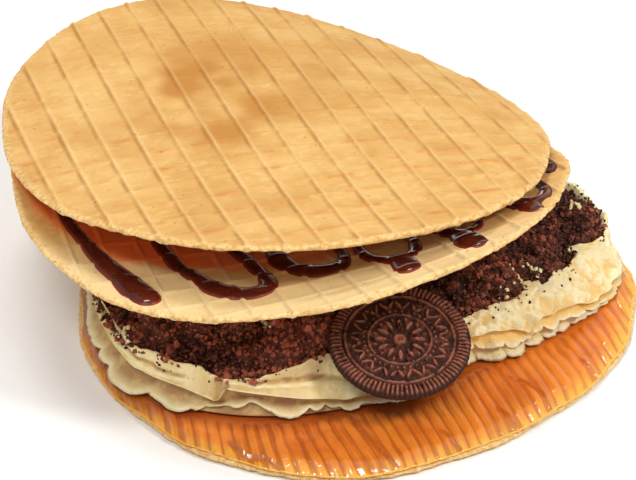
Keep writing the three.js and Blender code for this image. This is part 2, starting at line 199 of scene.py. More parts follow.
class Shade:
    """A number, colour or vector in the material being made. Sums on it add Math nodes."""
    tree = None

    def __init__(self, socket):
        self.socket = socket

    @classmethod
    def node(cls, kind, settings=None, inputs=None, output=0):
        """Any node, by its type, its settings, and the values or links of its sockets."""
        node = cls.tree.nodes.new("ShaderNode" + kind)
        for name, value in (settings or {}).items():
            setattr(node, name, value)
        for name, value in (inputs or {}).items():
            cls.feed(node.inputs[name], value)
        return cls(node.outputs[output])

    @classmethod
    def feed(cls, socket, value):
        if isinstance(value, cls):
            cls.tree.links.new(value.socket, socket)
        else:
            socket.default_value = value

    def _math(operation, swapped=False):
        def result(self, other):
            pair = (other, self) if swapped else (self, other)
            return Shade.node("Math", {"operation": operation}, dict(enumerate(pair)))
        return result

    __add__ = _math("ADD")
    __radd__ = _math("ADD", swapped=True)
    __sub__ = _math("SUBTRACT")
    __rsub__ = _math("SUBTRACT", swapped=True)
    __mul__ = _math("MULTIPLY")
    __rmul__ = _math("MULTIPLY", swapped=True)

    def step(self, low, high):
        """0 below the low value, 1 above the high one, and smooth between them."""
        ends = {"Value": self, "From Min": low, "From Max": high}
        return Shade.node("MapRange", {"interpolation_type": "SMOOTHSTEP"}, ends)


def colour(red, green, blue):
    """A colour given on the screen's scale of 0 to 255, as light."""
    parts = [c / 255 for c in (red, green, blue)]
    return (*(p / 12.92 if p <= 0.04045 else ((p + 0.055) / 1.055) ** 2.4 for p in parts), 1)


def start_finish(name):
    material = bpy.data.materials.new(name)
    material.use_nodes = True
    Shade.tree = material.node_tree
    return material


def set_surface(material, sockets):
    shader = material.node_tree.nodes["Principled BSDF"]
    for name, value in sockets.items():
        Shade.feed(shader.inputs[name], value)


def tone(name):
    """A number that the mesh carries for each of its points."""
    return Shade.node("Attribute", {"attribute_name": name}, output="Fac")


def blotches(size, detail=3.0, stretch=(1, 1, 1), turn=0.0):
    """Noise of about 0.5 on average, with blots of the given size in mm, stretched along its own
    axes, which may be turned about the upright one."""
    place = Shade.node("TexCoord", output="Object")
    if turn:
        place = Shade.node("Mapping", {}, {"Vector": place, "Rotation": (0, 0, -turn)})
    place = Shade.node("Mapping", {}, {"Vector": place, "Scale": stretch})
    fields = {"Vector": place, "Scale": 1 / (size * MM), "Detail": detail, "Roughness": 0.6}
    return Shade.node("TexNoise", {}, fields)


def blend(factor, first, second):
    """The first colour where the factor is 0, the second where it is 1."""
    settings = {"data_type": "RGBA", "clamp_factor": True}
    return Shade.node("Mix", settings, {0: factor, 6: first, 7: second}, output=2)


def bumps(height, depth):
    """A normal from a height of 0 to 1, for bumps of the given depth in mm."""
    return Shade.node("Bump", {}, {"Height": height, "Distance": depth * MM, "Strength": 1.0})


GRAIN_TURN = math.radians(19)


def baked_wafer(name):
    """Golden baked batter with tan streaks and browner blotches. Painted shade runs brown along one side
    of the ribs and orange under the cross ribs, and a painted highlight runs pale along their lit side. The
    rim is pale. The middle wafer has a red-brown painted shadow where the top wafer shades it, and painted
    light makes its lit front paler."""
    material = start_finish(name)
    golden = colour(221, 173, 101)
    pale = colour(237, 205, 140)
    tan = colour(206, 154, 80)
    brown = colour(168, 108, 40)
    scorched = colour(196, 112, 36)
    streaks = blotches(6, 5, (0.5, 1.25, 1), GRAIN_TURN)
    skin = blend(streaks.step(0.4, 0.66) * 0.6, golden, tan)
    skin = blend(tone("cell") * 0.4, skin, tan)
    skin = blend(blotches(17, 5).step(0.44, 0.62) * 0.45, skin, colour(230, 190, 120))
    skin = blend(blotches(2.2, 3, (0.5, 1.3, 1), GRAIN_TURN).step(0.52, 0.72) * 0.4, skin, pale)
    skin = blend(tone("browned").step(0.15, 0.95) * 0.95, skin, colour(188, 126, 50))
    # Painted shade: brown along one side of each rib and orange under the cross ribs. Painted highlight: pale
    # along the lit side of each rib, from the crest tone.
    skin = blend(tone("groove") * 0.62, skin, brown)
    skin = blend(tone("scorch") * 0.6, skin, scorched)
    skin = blend(tone("crest") * 0.55, skin, pale)
    # Paler all over the bottom wafer; on the middle one, painted light makes its lit front paler.
    skin = blend(tone("fair") * 0.6, skin, colour(246, 226, 172))
    skin = blend(blotches(0.8, 2).step(0.52, 0.75) * 0.25, skin, tan)
    rim = tone("rim")
    crumbed = blend(blotches(1.3, 3).step(0.42, 0.62), colour(240, 209, 146), colour(214, 162, 86))
    skin = blend(rim * 0.7, skin, crumbed)
    specks = blotches(1.5, 1).step(0.73, 0.77)
    skin = blend(specks * (0.45 + rim * 0.4), skin, colour(166, 98, 40))
    # Painted shadow: red-brown where the top wafer shades the middle one.
    skin = blend(tone("stained"), skin, blend(streaks, colour(248, 100, 42), colour(255, 138, 66)))
    grain = streaks * 0.35 + blotches(0.6, 3) * 0.3 + blotches(2.6, 4) * 0.5 - specks * 0.4
    set_surface(material, {
        "Base Color": skin,
        "Roughness": 0.62,
        "Specular IOR Level": 0.35,
        "Subsurface Weight": 0.1,
        "Subsurface Radius": (2.2 * MM, 1.2 * MM, 0.6 * MM),
        "Subsurface Scale": 1.0,
        "Normal": bumps(grain, 0.3),
    })
    return material


def wafer_tones(plan, ribs_here, rim_count, browned, seed):
    """What the baked-wafer material reads at each point of the plan."""
    height, first, second, cells = ribs_here
    nearer = soft_step(35, -40, plan[:, 1])
    patchy = np.clip(0.6 + 0.7 * relief(plan, 7, seed + 20) + 0.3 * relief(plan, 2.5, seed + 21), 0, 1)
    broken = np.clip(0.25 + 1.1 * relief(plan, 6, seed + 22) + 0.5 * relief(plan, 2, seed + 23), 0, 1)
    rim_share = np.zeros(len(plan))
    rim_share[:rim_count] = 1
    rim_share[rim_count:rim_count + rim_count // 2] = 0.75
    uneven = 0.8 * relief(np.floor(cells) * 7.3, 1, seed + 24) + 0.3 * relief(plan, 4, seed + 25)
    return {
        "cell": np.clip(0.45 + uneven, 0, 1),
        # The crest tone is a painted highlight on the lit side of each rib; the two after it are painted
        # shade beside the ribs and under the cross ribs.
        "crest": np.exp(-((first - 0.5) / 0.6) ** 2) * (0.5 + 0.5 * nearer) * (0.5 + 0.5 * patchy),
        "groove": np.exp(-((first + 0.75) / 0.6) ** 2) * patchy,
        "scorch": np.exp(-((second + 0.6) / 0.6) ** 2) * nearer * broken * 1.2,
        "rim": rim_share,
        "browned": browned,
    }


def stacked(height, plan, rim_count, ribs_here, half, seed, rib_height):
    """Upper and lower faces and side rings of a wafer whose middle surface is given."""
    ribbed = ribs_here[0]
    fall = np.zeros(len(plan))
    fall[:rim_count] = 0.45
    fall[rim_count:rim_count + rim_count // 2] = 0.1
    fall *= 1 + 0.4 * relief(plan, 2, seed + 5)
    grain = 0.09 * rough(plan, 5, seed + 9)
    upper = height + half + rib_height * ribbed - fall + grain
    lower = height - half - 0.7 * rib_height * ribbed + fall + grain
    rim = plan[:rim_count]
    angle = np.arctan2(rim[:, 1], rim[:, 0])
    out = polar(angle, 1.0)
    rings = []
    for share, bulge in ((0, 0), (0.2, 0.3), (0.5, 0.4), (0.8, 0.28), (1, 0)):
        level = upper[:rim_count] * (1 - share) + lower[:rim_count] * share
        stand = bulge + crumbly(level, angle, 0.6 if 0 < share < 1 else 0.4, seed)
        rings.append(np.column_stack([rim + out * stand[:, None], level]))
    faces_up = np.column_stack([plan, upper])
    faces_down = np.column_stack([plan, lower])
    faces_up[:rim_count] = rings.pop(0)
    faces_down[:rim_count] = rings.pop()
    return faces_up, faces_down, rings


def whole_tones(tones, ring_points):
    """The plan's tones for both faces and for the points round the side."""
    on_side = {"rim": 1.0, "browned": 0.2}
    return {name: np.concatenate([tone, tone, np.full(ring_points, on_side.get(name, 0.0))])
            for name, tone in tones.items()}


def bottom_rim(angle):
    return WAFER_RADIUS + waves(angle, BOTTOM_RIM)


plan, plan_faces, rim_count = wafer_plan(lambda a: bottom_rim(a) - 0.5, BOTTOM_TURN, BOTTOM_RIBS)
ribs_here = lattice(plan, BOTTOM_TURN, BOTTOM_RIBS, 11)
middle_level = np.full(len(plan), BOTTOM_THICKNESS / 2)
upper, lower, side = stacked(middle_level, plan, rim_count, ribs_here, 0.94, 11, 0.32)
points, faces = slab(plan_faces, upper, lower, side)
points[:, 2] = np.clip(points[:, 2], 0, BOTTOM_THICKNESS)
tones = wafer_tones(plan, ribs_here, rim_count, 0.25 + 0.2 * relief(plan, 12, 4), 11)
tones["fair"] = np.full(len(plan), 0.2)
tones["stained"] = np.zeros(len(plan))
wafer_finish = baked_wafer("baked_wafer")
bottom_wafer = make_piece("bottom_wafer_baked", points, faces, wafer_finish,
                          **whole_tones(tones, 3 * rim_count))
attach(bottom_wafer, "root")
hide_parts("bottom_wafer")

# ---- caramel --------------------------------------------------------------------------------
# Soft caramel, spread over the wafer nearly to its rim and combed with a toothed scraper in long
# parallel strokes. It is glossy and lets light through, so it glows where it thins at the rim.
CARAMEL_LOW = 2.7
CARAMEL_FLAT = 4.2
CARAMEL_CREST = 4.85
CARAMEL_INSET = 0.5
COMB_PITCH = 3.9
COMB_DEPTH = 0.75
SMEARS = (
    ((-41, -74), (-35, -81), (-28, -84), (-22, -91)),
    ((-2, -67), (2, -73), (7, -82), (13, -89)),
    ((46, -46), (52, -49), (57, -55), (60, -63), (62, -71)),
    ((24, -71), (29, -78), (33, -83), (36, -86)),
    ((42, -61), (46, -66), (50, -73)),
    ((70, -37), (75, -46), (77, -56)),
)


def flow(knots, rows):
    """Points on a smooth curve through the knots, which are arrays of any shape."""
    knots = np.asarray(knots, float)
    place = np.linspace(0, len(knots) - 1, rows)
    first = np.minimum(place.astype(int), len(knots) - 2)
    t = (place - first).reshape(-1, *(1,) * (knots.ndim - 1))
    a, b, c, d = (knots[np.clip(first + k, 0, len(knots) - 1)] for k in (-1, 0, 1, 2))
    return b + 0.5 * t * (c - a + t * (2 * a - 5 * b + 4 * c - d + t * (3 * (b - c) + d - a)))


def cream_foot(angle):
    """How far out the cream stands: pulled in most at the front, where the biscuit leans."""
    from_front = from_bearing(angle, -55)
    reach = np.where(from_front < 0, 95, 62)
    near = 0.5 + 0.5 * np.cos(math.pi * np.minimum(1, np.abs(from_front) / reach))
    bulge = 5 * np.exp(-((from_front + 17) / 13) ** 2)
    room = 3.2 + 2.6 * np.exp(-(from_bearing(angle, -158) / 22) ** 2)
    return np.minimum(87.3 - 34 * near ** 0.68 + bulge, bottom_rim(angle) - room)


def caramel_rim(angle):
    return bottom_rim(angle) - CARAMEL_INSET + waves(angle, ((7, 0.6, 10), (19, 0.35, 4)))


def comb_place(x, y):
    """Where a point lies across the comb's strokes, in strokes, with its wander."""
    lean = np.radians(8 + 12 * soft_step(-50, 5, x))
    flat = np.column_stack([x, y])
    wander = 1.1 * relief(flat, 23, 31) + 0.25 * relief(flat, 6, 32)
    return (x + (y + 72) * np.tan(lean) + wander) / COMB_PITCH


def combed(x, y):
    """Relief of the combed caramel, 0 in the furrows to 1 on the crests."""
    place = comb_place(x, y)
    stroke = np.floor(place)
    ridge = np.abs(np.sin(math.pi * place)) ** 0.7
    between = np.abs(np.sin(math.pi * (2.6 * place + 0.3 * stroke))) ** 0.8
    strength = 0.65 + 0.35 * relief(np.column_stack([stroke * 3.7, y / 14]), 1, 33)
    along = relief(np.column_stack([place * 3, y / 2.6]), 2.6, 34)
    return ridge * strength + 0.22 * between + 0.2 * along - 0.1


def smears(x, y):
    """The scraper's slips: curved steps that cross the strokes, high on one side, with a furrow at
    their foot. Two reliefs: the height in mm, and how deep in a furrow a point is, which sets the painted
    shade there."""
    height, furrow = np.zeros(len(x)), np.zeros(len(x))
    for knots in SMEARS:
        line = flow(knots, 60)
        near = np.flatnonzero(np.hypot(x - line[30, 0], y - line[30, 1]) < 30)
        apart = np.hypot(x[near, None] - line[:, 0], y[near, None] - line[:, 1])
        nearest = apart.argmin(1)
        ahead = np.gradient(line, axis=0)[nearest]
        side = ahead[:, 0] * (y[near] - line[nearest, 1]) - ahead[:, 1] * (x[near] - line[nearest, 0])
        away = apart.min(1) * np.sign(side)
        ends = soft_step(0, 8, nearest) * soft_step(59, 50, nearest)
        height[near] += 0.55 * ends * np.where(away > 0, np.exp(-away / 2.0), -0.7 * np.exp(away / 0.8))
        furrow[near] += ends * np.exp(-((away + 0.5) / 0.8) ** 2)
    return height, furrow


def turned(rings, top, bottom):
    """Points and faces of a closed piece made of rings about the upright axis, listed from the
    middle of its top outwards, down and back in to the middle of its underside."""
    count, steps = len(rings), len(rings[0])
    ids = np.arange(count * steps).reshape(count, steps)
    turn = np.roll(ids, -1, axis=1)
    quads = np.stack([ids[:-1], ids[1:], turn[1:], turn[:-1]], -1).reshape(-1, 4)
    peak = np.full(steps, count * steps)
    caps = [np.stack([peak, ids[0], turn[0]], 1), np.stack([peak + 1, turn[-1], ids[-1]], 1)]
    points = np.concatenate([*rings, [(0, 0, top), (0, 0, bottom)]])
    return points, [quads, *caps]


angle = around(1440)
rim_line = caramel_rim(angle) + 0.25 * relief(polar(angle, 85.0), 1.6, 40)
inner_line = np.minimum(cream_foot(angle) - 5, rim_line - 5)
rows = 48
rim = polar(angle, rim_line - 0.7)
fill = [polar(angle, inner_line + (rim_line - 0.7 - inner_line) * k / rows) for k in range(rows)]
rings = np.array([*fill, rim])
x, y = rings[..., 0].ravel(), rings[..., 1].ravel()
radius = np.hypot(x, y)
to_rim = np.tile(rim_line, rows + 1) - radius
beyond_cream = radius - np.tile(cream_foot(angle), rows + 1)
bare = soft_step(0.5, 4, beyond_cream) * soft_step(2.5, 8, np.tile(rim_line - cream_foot(angle), rows + 1))
comb = combed(x, y)
slipped, slip_furrow = smears(x, y)
thin = np.clip((to_rim + 0.7 * relief(np.column_stack([x, y]), 4, 42)) / 5.2, 0, 1)
height = CARAMEL_FLAT + bare * ((comb - 0.75) * COMB_DEPTH + 0.35 + slipped) - 1.9 * (1 - thin)
height += bare * 0.14 * relief(np.column_stack([x, y]), 9, 41)
height = np.clip(height, CARAMEL_LOW - 0.1, CARAMEL_CREST + 0.1)
surface = np.column_stack([x, y, height]).reshape(rows + 1, len(angle), 3)
end_comb = comb.reshape(rows + 1, -1)[-1]
end_height = surface[-1, :, 2]
side = []
for out, share in ((0.45, 0.18), (0.68, 0.45), (0.5, 0.8), (0, 1)):
    level = end_height * (1 - share) + (CARAMEL_LOW - 0.6) * share
    reach = rim_line - 0.7 + out + 0.35 * end_comb * (share < 1)
    side.append(np.column_stack([polar(angle, reach), level]))
points, faces = turned([*surface, *side], CARAMEL_FLAT, CARAMEL_LOW)
pad = np.zeros(len(points) - len(x))
# Painted shade: the comb's furrows and the foot of each slip are darkened.
furrow = np.concatenate([bare * np.clip(1.1 - 1.3 * comb, 0, 1) + 0.9 * bare * slip_furrow, pad])
glow = np.concatenate([1 - soft_step(0, 13, to_rim), pad + 1])
ragged_rim = to_rim + 1.2 * relief(np.column_stack([x, y]), 3, 43)
rim_glow = np.concatenate([soft_step(5.5, 0.5, ragged_rim), pad + 1])
# Painted shade: a dark band along the cream's foot, strongest at the left, where the cream shades the
# caramel.
ragged_foot = beyond_cream + 1.5 * relief(np.column_stack([x, y]), 5, 44)
near_cream = soft_step(8.5, 0.5, ragged_foot) * (0.25 + 0.75 * soft_step(58, 20, x))
near_cream = np.concatenate([near_cream, pad])
caramel_finish = start_finish("soft_caramel")
place = Shade.node("TexCoord", output="Object")
side_to_side = Shade.node("SeparateXYZ", {}, {0: place})
# Painted light and shade: the caramel's colours are lighter on the right, where the key light falls, and
# darker on the left, and the glow at its thin rim is made stronger on the right.
right = side_to_side.step(-0.05, 0.07)
body = blend(right, colour(238, 134, 52), colour(246, 138, 44))
darker = blend(right, colour(202, 86, 28), colour(232, 110, 30))
body = blend(blotches(15, 4).step(0.4, 0.64) * 0.6, body, darker)
body = blend(blotches(10, 4).step(0.5, 0.66) * 0.5, body, colour(240, 146, 46))
body = blend(tone("glow") * (0.2 + right * 0.5), body, colour(246, 160, 44))
body = blend(tone("rim_glow") * (0.55 + right * 0.25), body, colour(252, 192, 72))
# Painted shade in the furrows, brown-red.
furrow_brown = blend(right, colour(152, 54, 16), colour(188, 80, 20))
body = blend(tone("furrow").step(0.15, 0.9) * 0.6, body, furrow_brown)
# Painted shade along the cream's foot, dark red-brown.
body = blend(tone("near_cream") * 0.75, body, colour(140, 46, 18))
grain = blotches(1.6, 3, (1.3, 0.3, 1), math.radians(-12)) * 0.7 + blotches(1.2, 3) * 0.3
set_surface(caramel_finish, {
    "Base Color": body,
    "Roughness": 0.16 + blotches(5, 3) * 0.12,
    "IOR": 1.46,
    "Coat Weight": 1.0,
    "Coat Roughness": 0.06,
    "Coat IOR": 1.6,
    "Subsurface Weight": 0.3,
    "Subsurface Radius": (2.0 * MM, 0.8 * MM, 0.25 * MM),
    "Subsurface Scale": 1.0,
    "Normal": bumps(grain, 0.24),
})
caramel = make_piece("combed_caramel", points, faces, caramel_finish, furrow=furrow, glow=glow,
                     rim_glow=rim_glow, near_cream=near_cream)
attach(caramel, "root")
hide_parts("caramel_layer")

# ---- whipped cream --------------------------------------------------------------------------
# A thin bed of whipped cream, and round it a border piped with a flat nozzle in long ribbons. Each
# ribbon starts high and runs down under the next. On the right they are ruffled and torn rough.
CREAM_LOW = 4.5
CREAM_CREST = 18.6
BED_TOP = 9.0
CREAM_STEPS = 1260
CREAM_ROWS = 104
JOIN_BEARING = -126
# Round the border, each row starts with its bearing in degrees. The numbers after it, in mm, are the
# border's width, the shoulder's height, and the lip's reach and height. They were traced from the
# photograph and turned into millimetres by a camera fitted to it.
CRUMB_MARGIN = (
    (-178, 3), (-167, 2), (-156, 2), (-151, 2.4), (-147, 4.6), (-143, 6.4), (-138, 5), (-133, 6),
    (-128, 6.6), (-122, 4.8), (-116, 5.4), (-110, 9), (-103, 12.5), (-90, 12.5), (-70, 11), (-55, 9),
    (-43, 7.5), (-35, 9), (-29, 10.5), (-21, 11.6), (-17, 12), (-15.5, 10.5), (-10, 13.4), (-5, 11.6),
    (-1, 12), (3, 14.5), (4.8, 9), (8, 5.5), (11, 4.4), (21, 3.8), (30, 5.5), (60, 9), (120, 9), (165, 6))
LICKS = ((-16.5, 6.0, 1.2), (3.2, 3.5, 1.3), (-34, 1.5, 2.0))
SHOULDER = (
    (-176, 13.5), (-162, 12.3), (-154, 11.6), (-148, 12.5), (-142, 13.3), (-133, 12.4), (-127.5, 10.8),
    (-124.8, 9.2), (-123, 14.8), (-116, 13.8), (-106, 11.2), (-94, 8.6), (-84, 9), (-60, 14), (-48, 15.6),
    (-39, 14.6), (-34, 13.4), (-30, 10.8), (-29, 9), (-28, 12.4), (-25, 13.3), (-22, 12.3), (-17.6, 13.7),
    (-14.4, 12.4), (-10.8, 8.7), (-6, 7.2), (12, 7.2), (24, 12), (60, 12.5), (120, 12), (160, 12.5))
LIP = (
    (-176, 1.5, 6), (-162, 3.0, 5.8), (-160, 1.4, 6.6), (-156.5, 3.5, 5.4), (-153, 2.0, 6.4),
    (-149.7, 4.6, 5.2), (-145.5, 3.8, 5.3), (-143.4, 1.2, 5.6), (-141, -0.4, 6.2),
    (-136.5, 1.7, 5.5), (-133.5, 2.8, 5.2),
    (-132.3, 0.8, 5.6), (-130.6, -0.3, 5.8), (-129.2, 0.4, 5.6), (-128.8, -1.8, 7.2), (-127, -0.6, 6.8),
    (-124.6, -1.9, 8.0), (-120.8, -1.0, 7.7), (-118.6, -1.9, 9.8), (-117.2, -2.0, 9.8), (-114.6, -1.2, 8.0),
    (-112.3, -0.3, 6.4), (-109, 1.0, 5.4), (-107.2, 1.3, 5.4), (-105.8, -0.2, 6.5), (-104, -0.8, 7.4),
    (-101.7, 0.4, 6.4), (-100.6, -1.4, 8.5), (-97.3, 0.3, 6.2), (-95.5, -0.5, 6.5), (-93.5, 1.3, 5.7),
    (-91.8, 1.5, 5.5), (-89.8, -0.2, 6.2), (-80, 0.8, 6), (-52, 0.5, 6), (-45, -0.3, 5.7), (-43, 0.4, 5.5),
    (-41.5, 3.2, 5.4), (-39.4, 3.2, 5.6), (-37.8, 1.3, 6.2), (-36.2, 3.8, 5.4), (-34.6, 4.0, 5.6),
    (-32.6, 2.4, 5.8), (-29.6, 0.0, 5.8), (-28.4, 0.8, 5.5), (-27.0, 2.0, 5.3), (-25.8, 0.9, 5.6),
    (-24, -0.5, 6), (-22.8, 1.3, 5.4), (-20.5, -0.2, 5.8), (-18.8, 0.8, 5.4), (-16.5, -0.3, 5.8),
    (-15.4, 1.4, 5.4), (-13.6, 0.8, 5.5), (-11.4, 0.3, 5.8), (-9.3, 2.0, 5.4), (-3, 1.6, 5.6), (4, 2.2, 5.4),
    (12, 2.4, 5.4), (24, 1.4, 5.4), (100, 1.4, 5.5), (160, 1.4, 5.6))
CREASES = (
    (-180, 48, 15.6, 14.2), (-124, 31, 17.2, 11.2), (150, 62, 16.0, 14.0), (106, 60, 15.5, 14.0),
    (62, 60, 16.0, 14.0))


def read_round(knots, angle, column=1):
    """A number round the border, from knots that each start with their bearing in degrees."""
    table = np.array(knots)
    at, value = table[:, 0], table[:, column]
    shifts = np.radians((-0.7, -0.35, 0, 0.35, 0.7))
    return sum(np.interp(np.degrees(angle + s), at, value, period=360) for s in shifts) / 5


def cream_inner(angle):
    """How far out the crumbs reach. Licks of cream run in among them."""
    licks = sum(far * np.exp(-(from_bearing(angle, at) / wide) ** 2) for at, far, wide in LICKS)
    circle = polar(angle, 80.0)
    ragged = 1.0 * relief(circle, 12, 52) + 0.9 * relief(circle, 4, 53) + 0.5 * relief(circle, 1.6, 54)
    margin = read_round(CRUMB_MARGIN, angle)
    return cream_foot(angle) - margin - licks + ragged * np.minimum(1, margin / 5)


def cream_crest(angle):
    """Height of the border's top: it sinks where the ribbons meet at the front left."""
    circle = polar(angle, 80.0)
    sunk = 1.2 * np.exp(-(from_bearing(angle, -120) / 13) ** 2)
    return CREAM_CREST - sunk + 0.7 * relief(circle, 24, 50) + 0.5 * relief(circle, 8, 51)


angle = around(CREAM_STEPS)
ruffled = soft_step(0.0, 0.55, np.cos(angle))
at_back = soft_step(85, 72, np.abs(from_bearing(angle, 97)))
foot = cream_foot(angle)
inside = cream_inner(angle)
crest = cream_crest(angle)
circle = polar(angle, 80.0)
flat = np.zeros(CREAM_STEPS)
brow = read_round(SHOULDER, angle) + 0.3 * relief(circle, 5, 58) + 1.6 * at_back * relief(circle, 7, 59)
brow_out = foot - 0.8 + 1.4 * ruffled + 0.4 * relief(circle, 9, 60) + 1.2 * ruffled * relief(circle, 4, 61)
top_start = np.minimum(inside + 2.0, brow_out - 1.6)
profile = [np.stack(knot) for knot in (
    (inside - 3.5, flat + BED_TOP), (inside - 0.3, crest - 4),
    (np.minimum(inside + 0.7, top_start - 0.6), crest - 0.6), (top_start, crest),
    (0.5 * (top_start + brow_out) - 0.3, 0.5 * (crest + brow) - 0.9 + 1.7 * ruffled),
    (brow_out - 1.0, brow + 0.1 + 0.3 * ruffled), (brow_out, brow + 0.1), (brow_out - 2.2, brow - 0.8),
    (brow_out - 2.6, 5.4 + 0.5 * (brow - 5.4)), (foot - 1.8, 5.4 + 0.2 * (brow - 5.4)),
    (foot - 0.7, flat + 5.2), (foot - 2.2, flat + 4.7), (foot - 3.2, flat + CREAM_LOW))]
reach, level = np.moveaxis(flow(profile, CREAM_ROWS), 1, 0)
along = np.linspace(0, len(profile) - 1, CREAM_ROWS)[:, None]
on_top = soft_step(1.2, 2.2, along) * (1 - soft_step(5.2, 5.8, along))
on_slope = soft_step(2.8, 3.4, along) * (1 - soft_step(5.0, 5.7, along))
# The shade relief is painted shade: darker in each crease's valley and on the smooth slopes, with a painted
# highlight along each crease's edge.
ridges, shade = np.zeros(level.shape), np.zeros(level.shape)
for start, span, high, low in CREASES:
    share = from_bearing(angle, start) / span
    there = soft_step(-0.02, 0.1, share) * (1 - soft_step(0.9, 1.02, share)) * (1 - ruffled)
    above = level - (high + (low - high) * share + 0.4 * relief(circle, 14, 62))
    edge = np.where(above < 0, np.exp(above / 1.2), np.exp(-above / 0.25))
    valley = np.exp(-((above - 1.0) / 0.7) ** 2)
    ridges += there * on_slope * (0.9 * edge - 0.9 * valley)
    shade += there * on_slope * (1.0 * valley - 1.0 * np.exp(-(above / 0.35) ** 2))
shade += on_slope * (1 - ruffled) * (0.5 * relief(circle, 12, 63) + 0.25)
brow_line = np.exp(-((along - 6.0) / 0.26) ** 2)
under_brow = soft_step(6.3, 6.9, along)
place = np.stack([reach * np.cos(angle), reach * np.sin(angle), level], -1).reshape(-1, 3)
smear = relief(place * (1, 1, 1.5), 7, 55).reshape(level.shape)
spatter = np.abs(relief(place, 2.6, 56)).reshape(level.shape) - 0.3
flecks = relief(place, 1.2, 57).reshape(level.shape)
swell = on_top * ((0.7 + 0.3 * ruffled) * smear + (0.3 + 1.3 * ruffled) * spatter
                  + (0.08 + 0.42 * ruffled) * flecks)
from_join = from_bearing(angle, JOIN_BEARING)
fold = np.where(from_join < 0, np.exp(from_join / 2.6), np.exp(-from_join / 0.7))
creases = 0.5 * np.sin(from_join * 2.4 + 0.8 * along) * np.exp(-(from_join / 5) ** 2)
swell += on_top * (1.2 * fold - 1.0 * np.exp(-((from_join - 1.6) / 1.0) ** 2) + creases)
reach = reach + 0.7 * swell + ridges
level = level + 0.75 * swell + 0.3 * ridges
cream_rings = np.stack([reach * np.cos(angle), reach * np.sin(angle), level], -1)
body_points, body_faces = turned(cream_rings, BED_TOP, CREAM_LOW)
# Painted shade in the low spots and under the brow, and a painted highlight along the brow.
low_spots = soft_step(0.0, -0.5, swell) * on_top * (0.35 + 0.4 * ruffled)
hollow = low_spots + shade + 0.95 * under_brow - 1.5 * brow_line
hollow = np.concatenate([np.clip(hollow, -0.9, 1).ravel(), [0, 0]])


def lip_waves(size, seed, cusped):
    """Waves of about -1..1 round the border, pointed outwards as far as cusped is 1."""
    wave = relief(circle, size, seed)
    pointed = 1 - 2.6 * np.abs(relief(circle, size, seed + 1))
    return wave * (1 - cusped) + pointed * cusped + 0.25 * relief(circle, size / 3, seed + 2)


def frill(top, lip, belly):
    """A thin sheet of cream round the border, from a top line to a lip. A line is (how far out,
    height), for every bearing."""
    rows = 12
    share = np.linspace(0, 1, rows)[:, None]
    out = top[0] * (1 - share) + lip[0] * share + belly * np.sin(math.pi * share)
    height = top[1] * (1 - share) + lip[1] * share
    thick = 1.5 - 1.2 * share
    slant = np.roll(lip[0], 4) - np.roll(lip[0], -4)
    bearing = angle + share ** 1.5 * slant * 0.008
    outer = np.stack([out, height], -1)
    inner = np.stack([out - thick, height + 0.12 * thick], -1)[::-1]
    bearings = np.concatenate([bearing, bearing[::-1]])
    loop = np.concatenate([outer, inner])
    loop[..., 1] = np.maximum(loop[..., 1], CREAM_LOW - 0.2)
    points = np.stack([loop[..., 0] * np.cos(bearings), loop[..., 0] * np.sin(bearings), loop[..., 1]], -1)
    ids = np.arange(2 * rows * CREAM_STEPS).reshape(2 * rows, CREAM_STEPS)
    down, turn = np.roll(ids, -1, axis=0), np.roll(ids, -1, axis=1)
    quads = np.stack([ids, down, np.roll(down, -1, axis=1), turn], -1).reshape(-1, 4)
    # Painted shade down the sheet's face, deeper where the lip is drawn in, and a painted highlight at the
    # lip.
    drawn_in = soft_step(0.5, -1.5, lip[0] - foot)
    shade = soft_step(1.05, 0.5, share) + 0.3 * drawn_in * share - 0.9 * share ** 14
    return points.reshape(-1, 3), [quads], np.concatenate([shade, np.maximum(shade[::-1], 0.6)]).ravel()


def joined(parts):
    """One mesh of several: each part is (points, list of faces, a tone for each point)."""
    points, faces, shades, start = [], [], [], 0
    for part_points, part_faces, shade in parts:
        points.append(part_points)
        faces += [f + start for f in part_faces]
        shades.append(shade)
        start += len(part_points)
    return np.concatenate(points), faces, np.concatenate(shades)


lip_out = foot + read_round(LIP, angle, 1) + (0.3 + 0.5 * ruffled) * lip_waves(2.4, 71, 0.8)
lip_out += 1.8 * at_back * lip_waves(8, 68, 0.5)
lip_level = read_round(LIP, angle, 2) + 0.25 * lip_waves(3, 74, 0.3)
fold_level = 0.42 * brow + 0.58 * lip_level + (0.2 + 2.1 * ruffled) * lip_waves(6, 64, 0.4)
fold_out = 0.5 * (brow_out + lip_out) - 3.0 * (1 - ruffled) + 1.6 * ruffled * lip_waves(5, 66, 0.2)
parts = [
    (body_points, body_faces, hollow),
    frill((brow_out - 2.2, brow - 1.1), (lip_out, lip_level), -1.3),
    frill((brow_out - 1.8, brow - 0.8), (fold_out, np.minimum(fold_level, brow - 1.5)), -0.4),
]
points, faces, hollow = joined(parts)
bearing = np.arctan2(points[:, 1], points[:, 0])
# Painted shade: the left of the border, turned away from the key light, is given brown hollows in place of
# yellow ones.
dull = 1 - soft_step(-0.15, 0.5, np.cos(bearing))
cream_finish = start_finish("whipped_cream")
